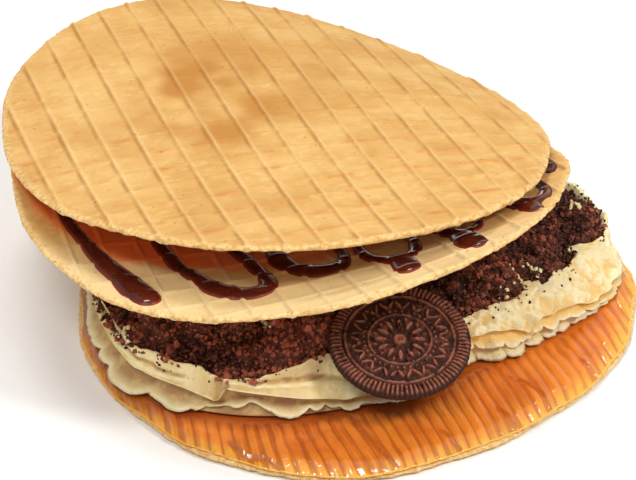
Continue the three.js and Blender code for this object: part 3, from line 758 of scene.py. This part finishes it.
# Painted shade darkens the hollows, yellow on the right and brown on the shaded left, and a painted highlight
# makes the brow and the lips paler.
fresh = blend(tone("dull"), colour(244, 229, 184), colour(252, 233, 176))
fresh = blend(tone("hollow") * 0.85, fresh, blend(tone("dull"), colour(238, 184, 78), colour(156, 98, 40)))
fresh = blend(tone("hollow") * -0.8, fresh, colour(255, 243, 204))
fresh = blend(blotches(7, 5).step(0.45, 0.62) * 0.5, fresh, colour(232, 204, 132))
fresh = blend(blotches(1.3, 3).step(0.6, 0.7) * 0.45, fresh, colour(196, 166, 104))
grain = blotches(3.2, 5, (1, 1, 0.6)) * 0.6 + blotches(1.0, 3) * 0.4
set_surface(cream_finish, {
    "Base Color": fresh,
    "Roughness": 0.5,
    "Specular IOR Level": 0.4,
    "Subsurface Weight": 0.2,
    "Subsurface Radius": (2.0 * MM, 1.5 * MM, 0.8 * MM),
    "Subsurface Scale": 1.0,
    "Normal": bumps(grain, 0.55),
})
cream = make_piece("piped_cream", points, faces, cream_finish, hollow=hollow, dull=dull)
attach(cream, "root")
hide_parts("whipped_cream")

# ---- cocoa crumbs ---------------------------------------------------------------------------
# Dry cocoa biscuit, crushed to crumbs of very uneven size and heaped inside the cream's border.
# The heap is pressed flat where the middle wafer lies on it, and crumbs stick to the cream.
MIDDLE = {
    "centre": (-20.6, 15.0, 33.7),
    "lean": (-5.7, 3.6),
    "bend": (13.0, -19.2, 4.7, 1.2, 0.4, -0.6, -1.8),
    "turn": 17,
    "ribs": ((10.8, 7.5), (10.6, -1.3)),
    "rim": ((5, 0.5, 20), (9, 0.35, 5), (14, 0.25, 0)),
    "dent": (-168, -1.0, 24),
}
BENT_HALF = 1.0
HEAP_DOME = 15


def bent(wafer, x, y):
    """Rise of a bent wafer's middle surface over its own flat frame."""
    s, t = x / WAFER_RADIUS, y / WAFER_RADIUS
    terms = (s * s, s * t, t * t, s ** 3, s * s * t, s * t * t, t ** 3)
    return sum(rise * term for rise, term in zip(wafer["bend"], terms))


def leaned(wafer, points):
    """Points of the wafer's own frame, leaned and lifted to where it lies."""
    about_x, about_y = (math.radians(a) for a in wafer["lean"])
    turn = Matrix.Rotation(about_x, 3, "X") @ Matrix.Rotation(about_y, 3, "Y")
    return points @ np.array(turn).T + wafer["centre"]


def height_over(wafer, x, y):
    """Height of the wafer's middle surface over places on the table, and where that is on it."""
    u, v = x - wafer["centre"][0], y - wafer["centre"][1]
    for _ in range(6):
        found = leaned(wafer, np.column_stack([u, v, bent(wafer, u, v)]))
        u, v = u + x - found[:, 0], v + y - found[:, 1]
    return found[:, 2], np.hypot(u, v)


def heap_height(x, y, share):
    """The heap's top at a place, where share is 0 at its middle and 1 at its edge."""
    edge = 1 - share
    rise = 4.5 * (1 - np.exp(-edge / 0.06)) + (HEAP_DOME - 4.5) * (1 - share * share)
    flat = np.column_stack([x, y])
    lumps = 2.1 * relief(flat, 10, 70) + 2.2 * relief(flat, 5, 71) + 1.0 * relief(flat, 2.4, 72)
    top = cream_crest(np.arctan2(y, x)) - 1.3 + rise + lumps * np.minimum(1, 0.25 + edge / 0.1)
    over, away = height_over(MIDDLE, x, y)
    return np.where(away < WAFER_RADIUS + 1, np.minimum(top, over - BENT_HALF - 0.9), top)


def heap_pits(x, y):
    """Painted shade for the heap: 0, darkest, in the deep gaps between its crumbs, up to 1 on its high spots.
    """
    flat = np.column_stack([x, y])
    rise = 0.5 * relief(flat, 10, 70) + 0.6 * relief(flat, 5, 71) + 0.35 * relief(flat, 2.4, 72)
    return soft_step(-0.5, 0.45, rise)


angle = around(900)
side_line = cream_inner(angle) - 0.2 + 1.0 * relief(polar(angle, 75.0), 3, 74)
shares = 1 - np.linspace(0, 1, 110) ** 1.1
rings = []
for share in shares[::-1][1:]:
    place = polar(angle, side_line * share)
    rings.append(np.column_stack([place, heap_height(place[:, 0], place[:, 1], share)]))
rings.append(np.column_stack([polar(angle, side_line + 0.4), cream_crest(angle) - 2.4]))
rings.append(np.column_stack([polar(angle, side_line - 3.5), np.full(900, BED_TOP + 0.2)]))
points, faces = turned(rings, float(heap_height(np.zeros(1), np.zeros(1), 0)[0]), BED_TOP + 0.2)
crumb_finish = start_finish("cocoa_crumbs")
# The light tone carries random tone, painted shade in the heap's gaps and painted light at the front left.
crumbed = blend(tone("light").step(0.05, 1.0), colour(32, 13, 9), colour(186, 102, 76))
crumbed = blend(blotches(0.8, 3).step(0.45, 0.7) * 0.55, crumbed, colour(176, 104, 80))
crumbed = blend(blotches(1.7, 2).step(0.55, 0.7) * 0.5, crumbed, colour(36, 16, 12))
set_surface(crumb_finish, {
    "Base Color": crumbed,
    "Roughness": 0.85,
    "Specular IOR Level": 0.25,
    "Normal": bumps(blotches(0.5, 3), 0.5),
})
# The core's light tone is painted shade, darkest in the heap's gaps.
light = 0.35 * heap_pits(points[:, 0], points[:, 1])
crumb_core = make_piece("cocoa_crumb_heap", points, faces, crumb_finish, light=light)


def icosphere(splits):
    """Points and triangles of a ball cut into near-equal triangles."""
    ball = bmesh.new()
    bmesh.ops.create_icosphere(ball, subdivisions=splits, radius=1.0)
    points = np.array([v.co[:] for v in ball.verts])
    faces = np.array([[v.index for v in f.verts] for f in ball.faces])
    ball.free()
    return points, faces


def lumps(draw, centres, sizes, splits, jag):
    """Broken lumps, each its own shape and turn, as one set of points and triangles."""
    ball, triangles = icosphere(splits)
    count = len(centres)
    shape = ball * (1 + jag * draw.uniform(-1, 1, (count, len(ball), 1)))
    shape = shape * draw.uniform(0.6, 1.15, (count, 1, 3))
    turn = np.linalg.qr(draw.normal(size=(count, 3, 3)))[0]
    turn[:, 0] *= np.sign(np.linalg.det(turn))[:, None]
    shape = np.einsum("nij,nkj->nki", turn, shape) * sizes[:, None, None] + centres[:, None]
    faces = triangles + len(ball) * np.arange(count)[:, None, None]
    return shape.reshape(-1, 3), [faces.reshape(-1, 3)], len(ball)


def heap_places(draw, count, least, most):
    """Places on the heap, more of them in its outer part, with their share and bearing."""
    bearing = draw.uniform(-math.pi, math.pi, count)
    share = np.sqrt(draw.uniform(least ** 2, most ** 2, count))
    radius = cream_inner(bearing) * share
    return radius * np.cos(bearing), radius * np.sin(bearing), share


def clear_of_wafer(x, y, z, size):
    """Heights lowered where a lump would stand in the middle wafer."""
    over, away = height_over(MIDDLE, x, y)
    return np.where(away < WAFER_RADIUS + size, np.minimum(z, over - BENT_HALF - size - 0.3), z)


def clear_of_biscuit(x, y, size):
    """Whether a lump keeps out of the leaning biscuit."""
    return np.hypot(x - 12.7, (y + 51.3) * 1.03) > 22.3 + size


STUCK_CRUMBS = 480
draw = np.random.default_rng(20)
crumb_kinds = {"fine": [], "coarse": []}
for kind, count, small, large, splits, jag, sink in (
        ("fine", 9700, 0.34, 0.8, 1, 0.45, 0.2), ("coarse", 3600, 0.65, 1.25, 1, 0.45, 0.3),
        ("coarse", 170, 1.2, 2.2, 2, 0.32, 0.3)):
    x, y, share = heap_places(draw, count, 0.5, 1.03)
    sizes = draw.uniform(small ** 0.5, large ** 0.5, count) ** 2
    z = heap_height(x, y, np.minimum(share, 0.995)) + sizes * (draw.uniform(-0.5, 0.9, count) - sink)
    z = clear_of_wafer(x, y, z, sizes)
    keep = clear_of_biscuit(x, y, sizes) | ((z > 30) & (x > 16))
    centres = np.column_stack([x, y, z])[keep]
    points, faces, each = lumps(draw, centres, sizes[keep], splits, jag)
    # Painted light makes the crumbs at the front left lighter, and painted shade darkens those in the heap's
    # gaps; the rest of their light tone is random.
    fresh_break = 1.2 * soft_step(5, -20, x[keep]) * soft_step(0, -25, y[keep])
    light = draw.uniform(0, 1, len(centres)) ** 1.4 * (0.3 + 0.7 * heap_pits(x[keep], y[keep]))
    light = light * (1 + fresh_break) * (0.6 if splits == 2 else 1) + 0.1 * fresh_break
    crumb_kinds[kind].append((points, faces, np.repeat(light, each)))
stuck_rows = draw.integers(12, 40, STUCK_CRUMBS)
stuck_rows = np.minimum(stuck_rows, draw.integers(12, 40, STUCK_CRUMBS))
centres = cream_rings[stuck_rows, draw.integers(0, CREAM_STEPS, STUCK_CRUMBS)]
centres = centres[clear_of_biscuit(centres[:, 0], centres[:, 1], 1.0)]
points, faces, each = lumps(draw, centres, draw.uniform(0.2, 0.6, len(centres)), 1, 0.3)
crumb_kinds["coarse"].append((points, faces, np.repeat(draw.uniform(0, 0.2, len(centres)), each)))
crumb_pieces = [crumb_core]
for kind, parts in crumb_kinds.items():
    points, faces, light = joined(parts)
    crumb_pieces.append(make_piece("cocoa_crumbs_" + kind, points, faces, crumb_finish, light=light))
    crumb_pieces[-1].data.shade_flat()
for piece in crumb_pieces:
    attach(piece, "root")
    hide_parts("cocoa_crumbs")

CREAM_FLECKS = ((-44, -34), (-40, -31), (-27, -42), (-28, -44), (-22, -36), (52, -16), (56, -14), (55, -20),
                (73, 20), (-78, -40), (-74, -41), (47, -26))
fleck_centres = []
for x, y in CREAM_FLECKS:
    fleck_centres.append(np.column_stack([x + draw.normal(0, 1.6, 14), y + draw.normal(0, 1.6, 14)]))
x, y = np.concatenate(fleck_centres).T
share = np.hypot(x, y) / cream_inner(np.arctan2(y, x))
x, y, share = x[share < 1.02], y[share < 1.02], share[share < 1.02]
sizes = draw.uniform(0.3, 0.8, len(x))
z = clear_of_wafer(x, y, heap_height(x, y, np.minimum(share, 0.995)) + 1.1, sizes)
points, faces, each = lumps(draw, np.column_stack([x, y, z]), sizes, 2, 0.25)
cream_flecks = make_piece("cream_flecks", points, faces, cream_finish,
                          hollow=np.zeros(len(points)), dull=np.full(len(points), 0.4))
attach(cream_flecks, "root")
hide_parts("whipped_cream")

# ---- cocoa biscuit --------------------------------------------------------------------------
# A crisp cocoa biscuit pressed in a mould: a toothed rim, a bead and a ring of small raised
# motifs round a rosette. It leans on the cream at the front. A painted highlight makes its high spots paler.
BISCUIT_HALF = 2.1
BISCUIT_LIES = {"centre": (12.7, -51.3, 22.3), "lean": (14.3, 2.2)}
TEETH = 88


def bead(radius, at, width):
    """A raised ring: 1 on its crest, 0 beyond its width."""
    return soft_step(width, 0, np.abs(radius - at))


def spots(radius, bearing, count, at, long, wide, turn=0.0, slant=0.0):
    """A ring of raised spots, longer outwards or crossways and slanted, as heights of 0 to 1."""
    step = 2 * math.pi / count
    off = (bearing - turn + step / 2) % step - step / 2
    return soft_step(1, 0.5, np.hypot((radius - at) / long, (off * radius + slant * (radius - at)) / wide))


def pressed(radius, bearing):
    """Relief of the biscuit's face, in mm."""
    tooth = np.abs(np.cos(bearing * TEETH / 2)) ** 0.8
    on_teeth = soft_step(17.7, 18.3, radius)
    face = -0.8 + 0.0 * radius
    face += 0.85 * on_teeth * (0.05 + 1.1 * tooth) * soft_step(22.1, 20.6, radius)
    face += 0.8 * bead(radius, 16.9, 0.6) + 0.65 * bead(radius, 9.7, 0.5)
    for turn, slant in ((0, 0.55), (math.pi / 18, -0.55)):
        face += 0.75 * spots(radius, bearing, 18, 13.7, 2.0, 0.62, turn, slant)
    face += 0.6 * spots(radius, bearing, 36, 11.1, 0.55, 0.5, math.pi / 36)
    face += 0.75 * spots(radius, bearing, 12, 6.0, 2.3, 0.85)
    face += 0.6 * spots(radius, bearing, 12, 7.9, 0.7, 0.5, math.pi / 12)
    face += 0.75 * soft_step(2.4, 1.6, radius) - 0.5 * soft_step(1.2, 0.7, radius)
    return face


angle = around(TEETH * 10)
radii = np.concatenate([np.linspace(0.3, 17.6, 56), np.linspace(17.9, 21.2, 9)])
rings = []
for radius in radii:
    place = polar(angle, radius)
    relief_here = pressed(np.full(len(angle), radius), angle)
    relief_here += 0.2 * rough(place, 2.2, 80) + 0.16 * relief(place, 0.7, 81)
    relief_here -= 0.5 * soft_step(0.5, 0.75, relief(place, 1.5, 83))
    rings.append(np.column_stack([place, BISCUIT_HALF + relief_here]))
tooth = np.abs(np.cos(angle * TEETH / 2)) ** 0.8
for radius, level in ((21.75, 1.35), (21.9, 0.4), (21.8, -0.6), (21.5, -1.4), (20.9, -BISCUIT_HALF)):
    nick = (0.42 * tooth - 0.3) * (0.4 if level < -1 else 1)
    place = polar(angle, radius + nick + 0.08 * relief(polar(angle, 22.0), 1.5, 82))
    rings.append(np.column_stack([place, np.full(len(angle), level)]))
for radius in (18, 12, 6):
    rings.append(np.column_stack([polar(angle, radius), np.full(len(angle), -BISCUIT_HALF)]))
points, faces = turned(rings, BISCUIT_HALF - 0.05, -BISCUIT_HALF)
from_middle = np.hypot(points[:, 0], points[:, 1])
# Painted highlight: the raised spots are made paler; painted shade darkens the gaps between the teeth.
raised = np.clip((points[:, 2] - BISCUIT_HALF + 0.75) / 0.75, 0, 1) * (points[:, 2] > 0)
between_teeth = 1 - np.abs(np.cos(np.arctan2(points[:, 1], points[:, 0]) * TEETH / 2)) ** 1.6
on_teeth = soft_step(17.6, 18.2, from_middle)
worn = raised * (1 - 0.2 * on_teeth) * (1 - 0.95 * on_teeth * between_teeth)
biscuit_finish = start_finish("cocoa_biscuit")
# Painted highlight on the raised spots, with paler blotches.
cocoa = blend(tone("worn"), colour(60, 28, 19), colour(176, 106, 80))
cocoa = blend(blotches(3.5, 4).step(0.5, 0.72) * 0.45 * tone("worn"), cocoa, colour(182, 124, 104))
cocoa = blend(blotches(0.9, 3).step(0.5, 0.66) * 0.55, cocoa, colour(44, 19, 13))
set_surface(biscuit_finish, {
    "Base Color": cocoa,
    "Roughness": 0.6,
    "Specular IOR Level": 0.3,
    "Normal": bumps(blotches(0.6, 3) * 0.5 + blotches(1.8, 3) * 0.5, 0.6),
})
biscuit = make_piece("cocoa_biscuit_pressed", leaned(BISCUIT_LIES, points), faces, biscuit_finish, worn=worn)
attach(biscuit, "root")
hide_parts("cocoa_biscuit")

# ---- middle wafer ---------------------------------------------------------------------------
# A ribbed wafer like the bottom one, bent while it was warm, laid on the crumbs with its ribs up.


def bent_wafer(name, wafer, seed, **more_tones):
    """A bent ribbed wafer with its rim, as a baked mesh where it lies. Each further tone is a
    function of the flat plan."""
    at, depth, spread = wafer["dent"]

    def radius(angle):
        away = from_bearing(angle, at) / spread
        return WAFER_RADIUS - 0.5 + waves(angle, wafer["rim"]) - depth * np.exp(-away * away)

    plan, plan_faces, rim_count = wafer_plan(radius, wafer["turn"], wafer["ribs"])
    ribs_here = lattice(plan, wafer["turn"], wafer["ribs"], seed)
    height = bent(wafer, plan[:, 0], plan[:, 1])
    upper, lower, side = stacked(height, plan, rim_count, ribs_here, BENT_HALF, seed, 0.55)
    points, faces = slab(plan_faces, upper, lower, side)
    tones = wafer_tones(plan, ribs_here, rim_count, more_tones.pop("browned")(plan), seed)
    tones = whole_tones(tones, len(side) * rim_count)
    for tone, numbers in more_tones.items():
        on_top = numbers(plan)
        tones[tone] = np.concatenate([on_top, 0 * on_top, np.tile(0.5 * on_top[:rim_count], len(side))])
    piece = make_piece(name, leaned(wafer, points), faces, wafer_finish, **tones)
    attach(piece, "root")
    return piece


def middle_stained(plan):
    """The red-brown painted shadow that the top wafer casts on the middle one. It is deepest at the left."""
    x, y = plan.T
    reach = 77 + 5 * soft_step(-30, -55, x) + 1.6 * relief(plan, 9, 91)
    inside = soft_step(3.0, -3.0, np.hypot(x + 14, y - 22) - reach)
    return inside * (0.62 + 0.33 * soft_step(-12, -46, x + 0.2 * y))


# Painted light: the lit front of the middle wafer is made paler.
def middle_fair(plan):
    return soft_step(-34, -56, plan[:, 1]) * (0.85 + 0.2 * relief(plan, 8, 92))


middle_wafer = bent_wafer("middle_wafer_baked", MIDDLE, 200, browned=lambda p: 0.2 + 0.2 * relief(p, 14, 90),
                          fair=middle_fair, stained=middle_stained)
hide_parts("middle_wafer")

# ---- chocolate drizzle ----------------------------------------------------------------------
# Liquid chocolate, drizzled over the middle wafer in one zigzag. Each stroke runs through places
# of (x, y, width) on the flat wafer, and lies as a rounded bead that wets the wafer at its foot.
DRIZZLE = (
    ((-43, -72, 9), (-46, -68, 10.5), (-51, -60, 9), (-57, -52, 7.5), (-64, -41, 5.5), (-71, -29, 5),
     (-76, -14, 5)),
    ((-48, -20, 5), (-42, -36, 5), (-38.5, -44, 5.5), (-34.5, -52, 5.5), (-29, -58.5, 6),
     (-23, -66, 8), (-15, -71, 9), (-8, -69, 7.5), (-7, -62, 6), (-10.5, -54, 5.5), (-15, -45, 5),
     (-20, -36, 5), (-26, -20, 5)),
    ((-10, -24, 5), (-5, -40, 6.5), (-3.5, -49, 7.5), (1, -55.5, 7), (8, -59, 9), (14.5, -57, 7),
     (16.5, -50, 4.5), (14.5, -41, 4), (10, -24, 4.5)),
    ((17, -26, 4), (20.5, -41, 4), (22.5, -50, 4.5), (27, -56, 5.5), (33, -58, 7), (37.5, -54, 5),
     (38, -46, 4.5), (35.5, -34, 4.5), (33, -22, 4.5)),
    ((33.5, -58, 7.5), (34.5, -64, 8.5), (35, -67.5, 8.5)),
    ((43, -26, 4.5), (46, -38, 5.5), (50, -44, 6.5), (55, -45, 5), (58, -41, 3.6), (57, -30, 3.6),
     (55, -18, 4)),
    ((52, -46, 7), (54, -54, 9), (56, -59.5, 7.5)),
    ((64, -14, 5), (69, -26, 7), (74, -31, 9), (78.5, -28, 6), (80, -19, 4), (77, -6, 4)),
    ((73, -32, 9), (75.5, -39, 5.5)),
    ((83.5, -4, 3.5), (84.5, 1, 3.6), (83, 9, 3.6)),
)
DRIZZLE_CELL = 0.5
columns = np.arange(-84, 90, DRIZZLE_CELL)
lines = np.arange(-80, 14, DRIZZLE_CELL)
gx, gy = np.meshgrid(columns, lines)
bead_height = np.full(gx.shape, -1.0)
for stroke in DRIZZLE:
    path = flow(stroke, 14 * len(stroke))
    for x, y, width in path:
        reach = width / 2 + 1.5
        i = slice(*np.searchsorted(lines, (y - reach, y + reach)))
        j = slice(*np.searchsorted(columns, (x - reach, x + reach)))
        away = np.hypot(gx[i, j] - x, gy[i, j] - y) / (width / 2)
        thick = 0.36 * width ** 0.75
        dome = np.where(away < 1, thick * np.clip(1 - away ** 2, 0, 1) ** 0.48, -1.2 * (away - 1) * width / 2)
        bead_height[i, j] = np.maximum(bead_height[i, j], np.maximum(dome, -1.0))
for _ in range(3):
    padded = np.pad(bead_height, 1, mode="edge")
    bead_height = (padded[1:-1, 1:-1] * 4 + padded[:-2, 1:-1] + padded[2:, 1:-1]
                   + padded[1:-1, :-2] + padded[1:-1, 2:]) / 8
flat = np.column_stack([gx.ravel(), gy.ravel()])
bead_height = bead_height - 0.3 + 0.1 * relief(flat, 6, 95).reshape(gx.shape)
cells = bead_height[:-1, :-1], bead_height[:-1, 1:], bead_height[1:, 1:], bead_height[1:, :-1]
wet = np.max(cells, axis=0) > -0.15
ids = np.arange(gx.size).reshape(gx.shape)
quads = np.stack([ids[:-1, :-1], ids[:-1, 1:], ids[1:, 1:], ids[1:, :-1]], -1)[wet]
used, quads = np.unique(quads, return_inverse=True)
quads = quads.reshape(-1, 4)
flat = flat[used]
rib_rise = 0.3 * lattice(flat, MIDDLE["turn"], MIDDLE["ribs"], 200)[0]
surface = bent(MIDDLE, flat[:, 0], flat[:, 1]) + BENT_HALF + np.maximum(rib_rise, 0)
over = np.column_stack([flat, surface + np.maximum(bead_height.ravel()[used], -0.7)])
under = np.column_stack([flat, surface - 0.8])
edges = np.concatenate([quads[:, [k, (k + 1) % 4]] for k in range(4)])
keys = edges[:, 0] * len(used) + edges[:, 1]
open_edges = edges[~np.isin(keys, edges[:, 1] * len(used) + edges[:, 0])]
skirt = np.stack([open_edges[:, 1], open_edges[:, 0], open_edges[:, 0] + len(used),
                  open_edges[:, 1] + len(used)], 1)
points = np.concatenate([over, under])
faces = [quads, quads[:, ::-1] + len(used), skirt]
chocolate_finish = start_finish("liquid_chocolate")
rich = blend(blotches(14, 2).step(0.4, 0.65), colour(70, 18, 12), colour(92, 28, 16))
rich = blend(tone("thin") * 0.85, rich, colour(150, 44, 14))
set_surface(chocolate_finish, {
    "Base Color": rich,
    "Roughness": 0.09 + tone("foot") * 0.5,
    "IOR": 1.42,
    "Coat Weight": 0.4 - tone("foot") * 0.4,
    "Coat Roughness": 0.04,
    "Coat IOR": 1.5,
    "Subsurface Weight": 0.12,
    "Subsurface Radius": (1.4 * MM, 0.3 * MM, 0.12 * MM),
    "Subsurface Scale": 1.0,
    "Normal": bumps(blotches(7, 1), 0.35),
})
thin = soft_step(0.8, 0.0, bead_height.ravel()[used]) * soft_step(-20, -50, flat[:, 1])
foot = soft_step(0.75, 0.3, bead_height.ravel()[used])
drizzle = make_piece("chocolate_drizzle", leaned(MIDDLE, points), faces, chocolate_finish,
                     thin=np.concatenate([thin, 0 * thin]), foot=np.concatenate([foot, foot]))
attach(drizzle, "root")
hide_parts("middle_wafer")

# ---- top wafer ------------------------------------------------------------------------------
# The last wafer, bent like a shallow saddle and laid over the drizzle. One broad patch of it is
# baked browner, at the left of its middle.
TOP = {
    "centre": (-24.2, 30.6, 55.0),
    "lean": (-3.3, 5.6),
    "bend": (-6.1, -12.4, -2.1, 2.3, -3.3, -3.8, -4.7),
    "turn": 19.3,
    "ribs": ((11.0, 6.3), (10.6, -2.9)),
    "rim": ((4, 0.4, 60), (7, 0.4, 12), (13, 0.25, 3)),
    "dent": (-128, 1.9, 22),
}
BROWN_PATCH = ((-24, 6), 25)


def top_browned(plan):
    (x, y), size = BROWN_PATCH
    away = np.hypot(plan[:, 0] - x, 0.8 * (plan[:, 1] - y)) / size
    patch = np.exp(-away ** 2) * (0.6 + 0.7 * rough(plan, 17, 97))
    edge = 0.3 * soft_step(40, 75, np.hypot(*plan.T)) * relief(plan, 20, 99)
    edge += 0.3 * np.exp(-(np.hypot(plan[:, 0] - 28, plan[:, 1] - 42) / 20) ** 2)
    return np.clip(0.2 + 0.24 * relief(plan, 15, 98) + 0.9 * patch + edge, 0, 1)


top_wafer = bent_wafer("top_wafer_baked", TOP, 300, browned=top_browned,
                       fair=lambda p: 0 * p[:, 0], stained=lambda p: 0 * p[:, 0])
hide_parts("top_wafer")

# ---- table, light and camera ----------------------------------------------------------------
# A plain pale table, soft lights from the right, the front left and the back, a pale room, and the
# camera about 35 degrees above the table.
FLOOR_HALF = 1500
AIM = (-11.8, -6.3, 30.0)
DISTANCE = 831.8
ELEVATION = math.radians(34.56)
ROLL = math.radians(1.02)
FOCAL_PIXELS = 2600
IMAGE_WIDTH = 636
SENSOR = 36
LIGHT_DISTANCE = 1300

floor_finish = start_finish("pale_table")
cloud = blotches(90, 2)
set_surface(floor_finish, {
    "Base Color": blend(cloud, colour(244, 243, 241), colour(248, 247, 246)),
    "Roughness": 0.9,
    "Specular IOR Level": 0.1,
})
steps = np.linspace(-FLOOR_HALF, FLOOR_HALF, 13)
gx, gy = (g.ravel() for g in np.meshgrid(steps, steps))
ids = np.arange(169).reshape(13, 13)
quads = np.stack([ids[:-1, :-1], ids[:-1, 1:], ids[1:, 1:], ids[1:, :-1]], -1).reshape(-1, 4)
floor = make_piece("table", np.column_stack([gx, gy, np.zeros(169)]), [quads], floor_finish)


def soft_light(name, bearing, height, size, power, tint):
    """A soft light 1.3 m away that looks at the sandwich, as wide and as deep as the size in mm. Its
    bearing is in degrees from the right-hand side towards the back, its height above the table."""
    light = bpy.data.lights.new(name, "AREA")
    light.shape = "ELLIPSE"
    light.size = size[0] * MM
    light.size_y = size[1] * MM
    light.energy = power
    light.color = tint
    lamp = bpy.data.objects.new(name, light)
    side, rise = math.radians(bearing), math.radians(height)
    away = Vector((math.cos(rise) * math.cos(side), math.cos(rise) * math.sin(side), math.sin(rise)))
    lamp.location = (Vector(AIM) + LIGHT_DISTANCE * away) * MM
    lamp.rotation_euler = away.to_track_quat("Z", "Y").to_euler()
    bpy.context.scene.collection.objects.link(lamp)


soft_light("key_light", -20, 46, (300, 300), 7.7, (1.0, 0.985, 0.96))
soft_light("front_light", -122, 60, (600, 300), 5.6, (1.0, 0.99, 0.98))
soft_light("back_light", 112, 70, (520, 240), 5.4, (1.0, 1.0, 1.0))

world = bpy.data.worlds.new("pale_room")
world.use_nodes = True
backdrop = world.node_tree.nodes["Background"]
backdrop.inputs["Color"].default_value = (1.0, 1.0, 1.0, 1)
backdrop.inputs["Strength"].default_value = 0.42
bpy.context.scene.world = world
bpy.context.scene.view_settings.view_transform = "Standard"

towards = Vector((0, -math.cos(ELEVATION), math.sin(ELEVATION)))
upright = Vector((0, math.sin(ELEVATION), math.cos(ELEVATION)))
sideways = Vector((1, 0, 0))
right_axis = math.cos(ROLL) * sideways - math.sin(ROLL) * upright
up_axis = math.sin(ROLL) * sideways + math.cos(ROLL) * upright
lens = bpy.data.cameras.new("camera")
lens.sensor_width = SENSOR
lens.lens = SENSOR * FOCAL_PIXELS / IMAGE_WIDTH
lens.clip_end = 20
camera = bpy.data.objects.new("camera", lens)
turn = Matrix((right_axis, up_axis, towards)).transposed().to_4x4()
camera.matrix_world = Matrix.Translation((Vector(AIM) + DISTANCE * towards) * MM) @ turn
bpy.context.scene.collection.objects.link(camera)
bpy.context.scene.camera = camera
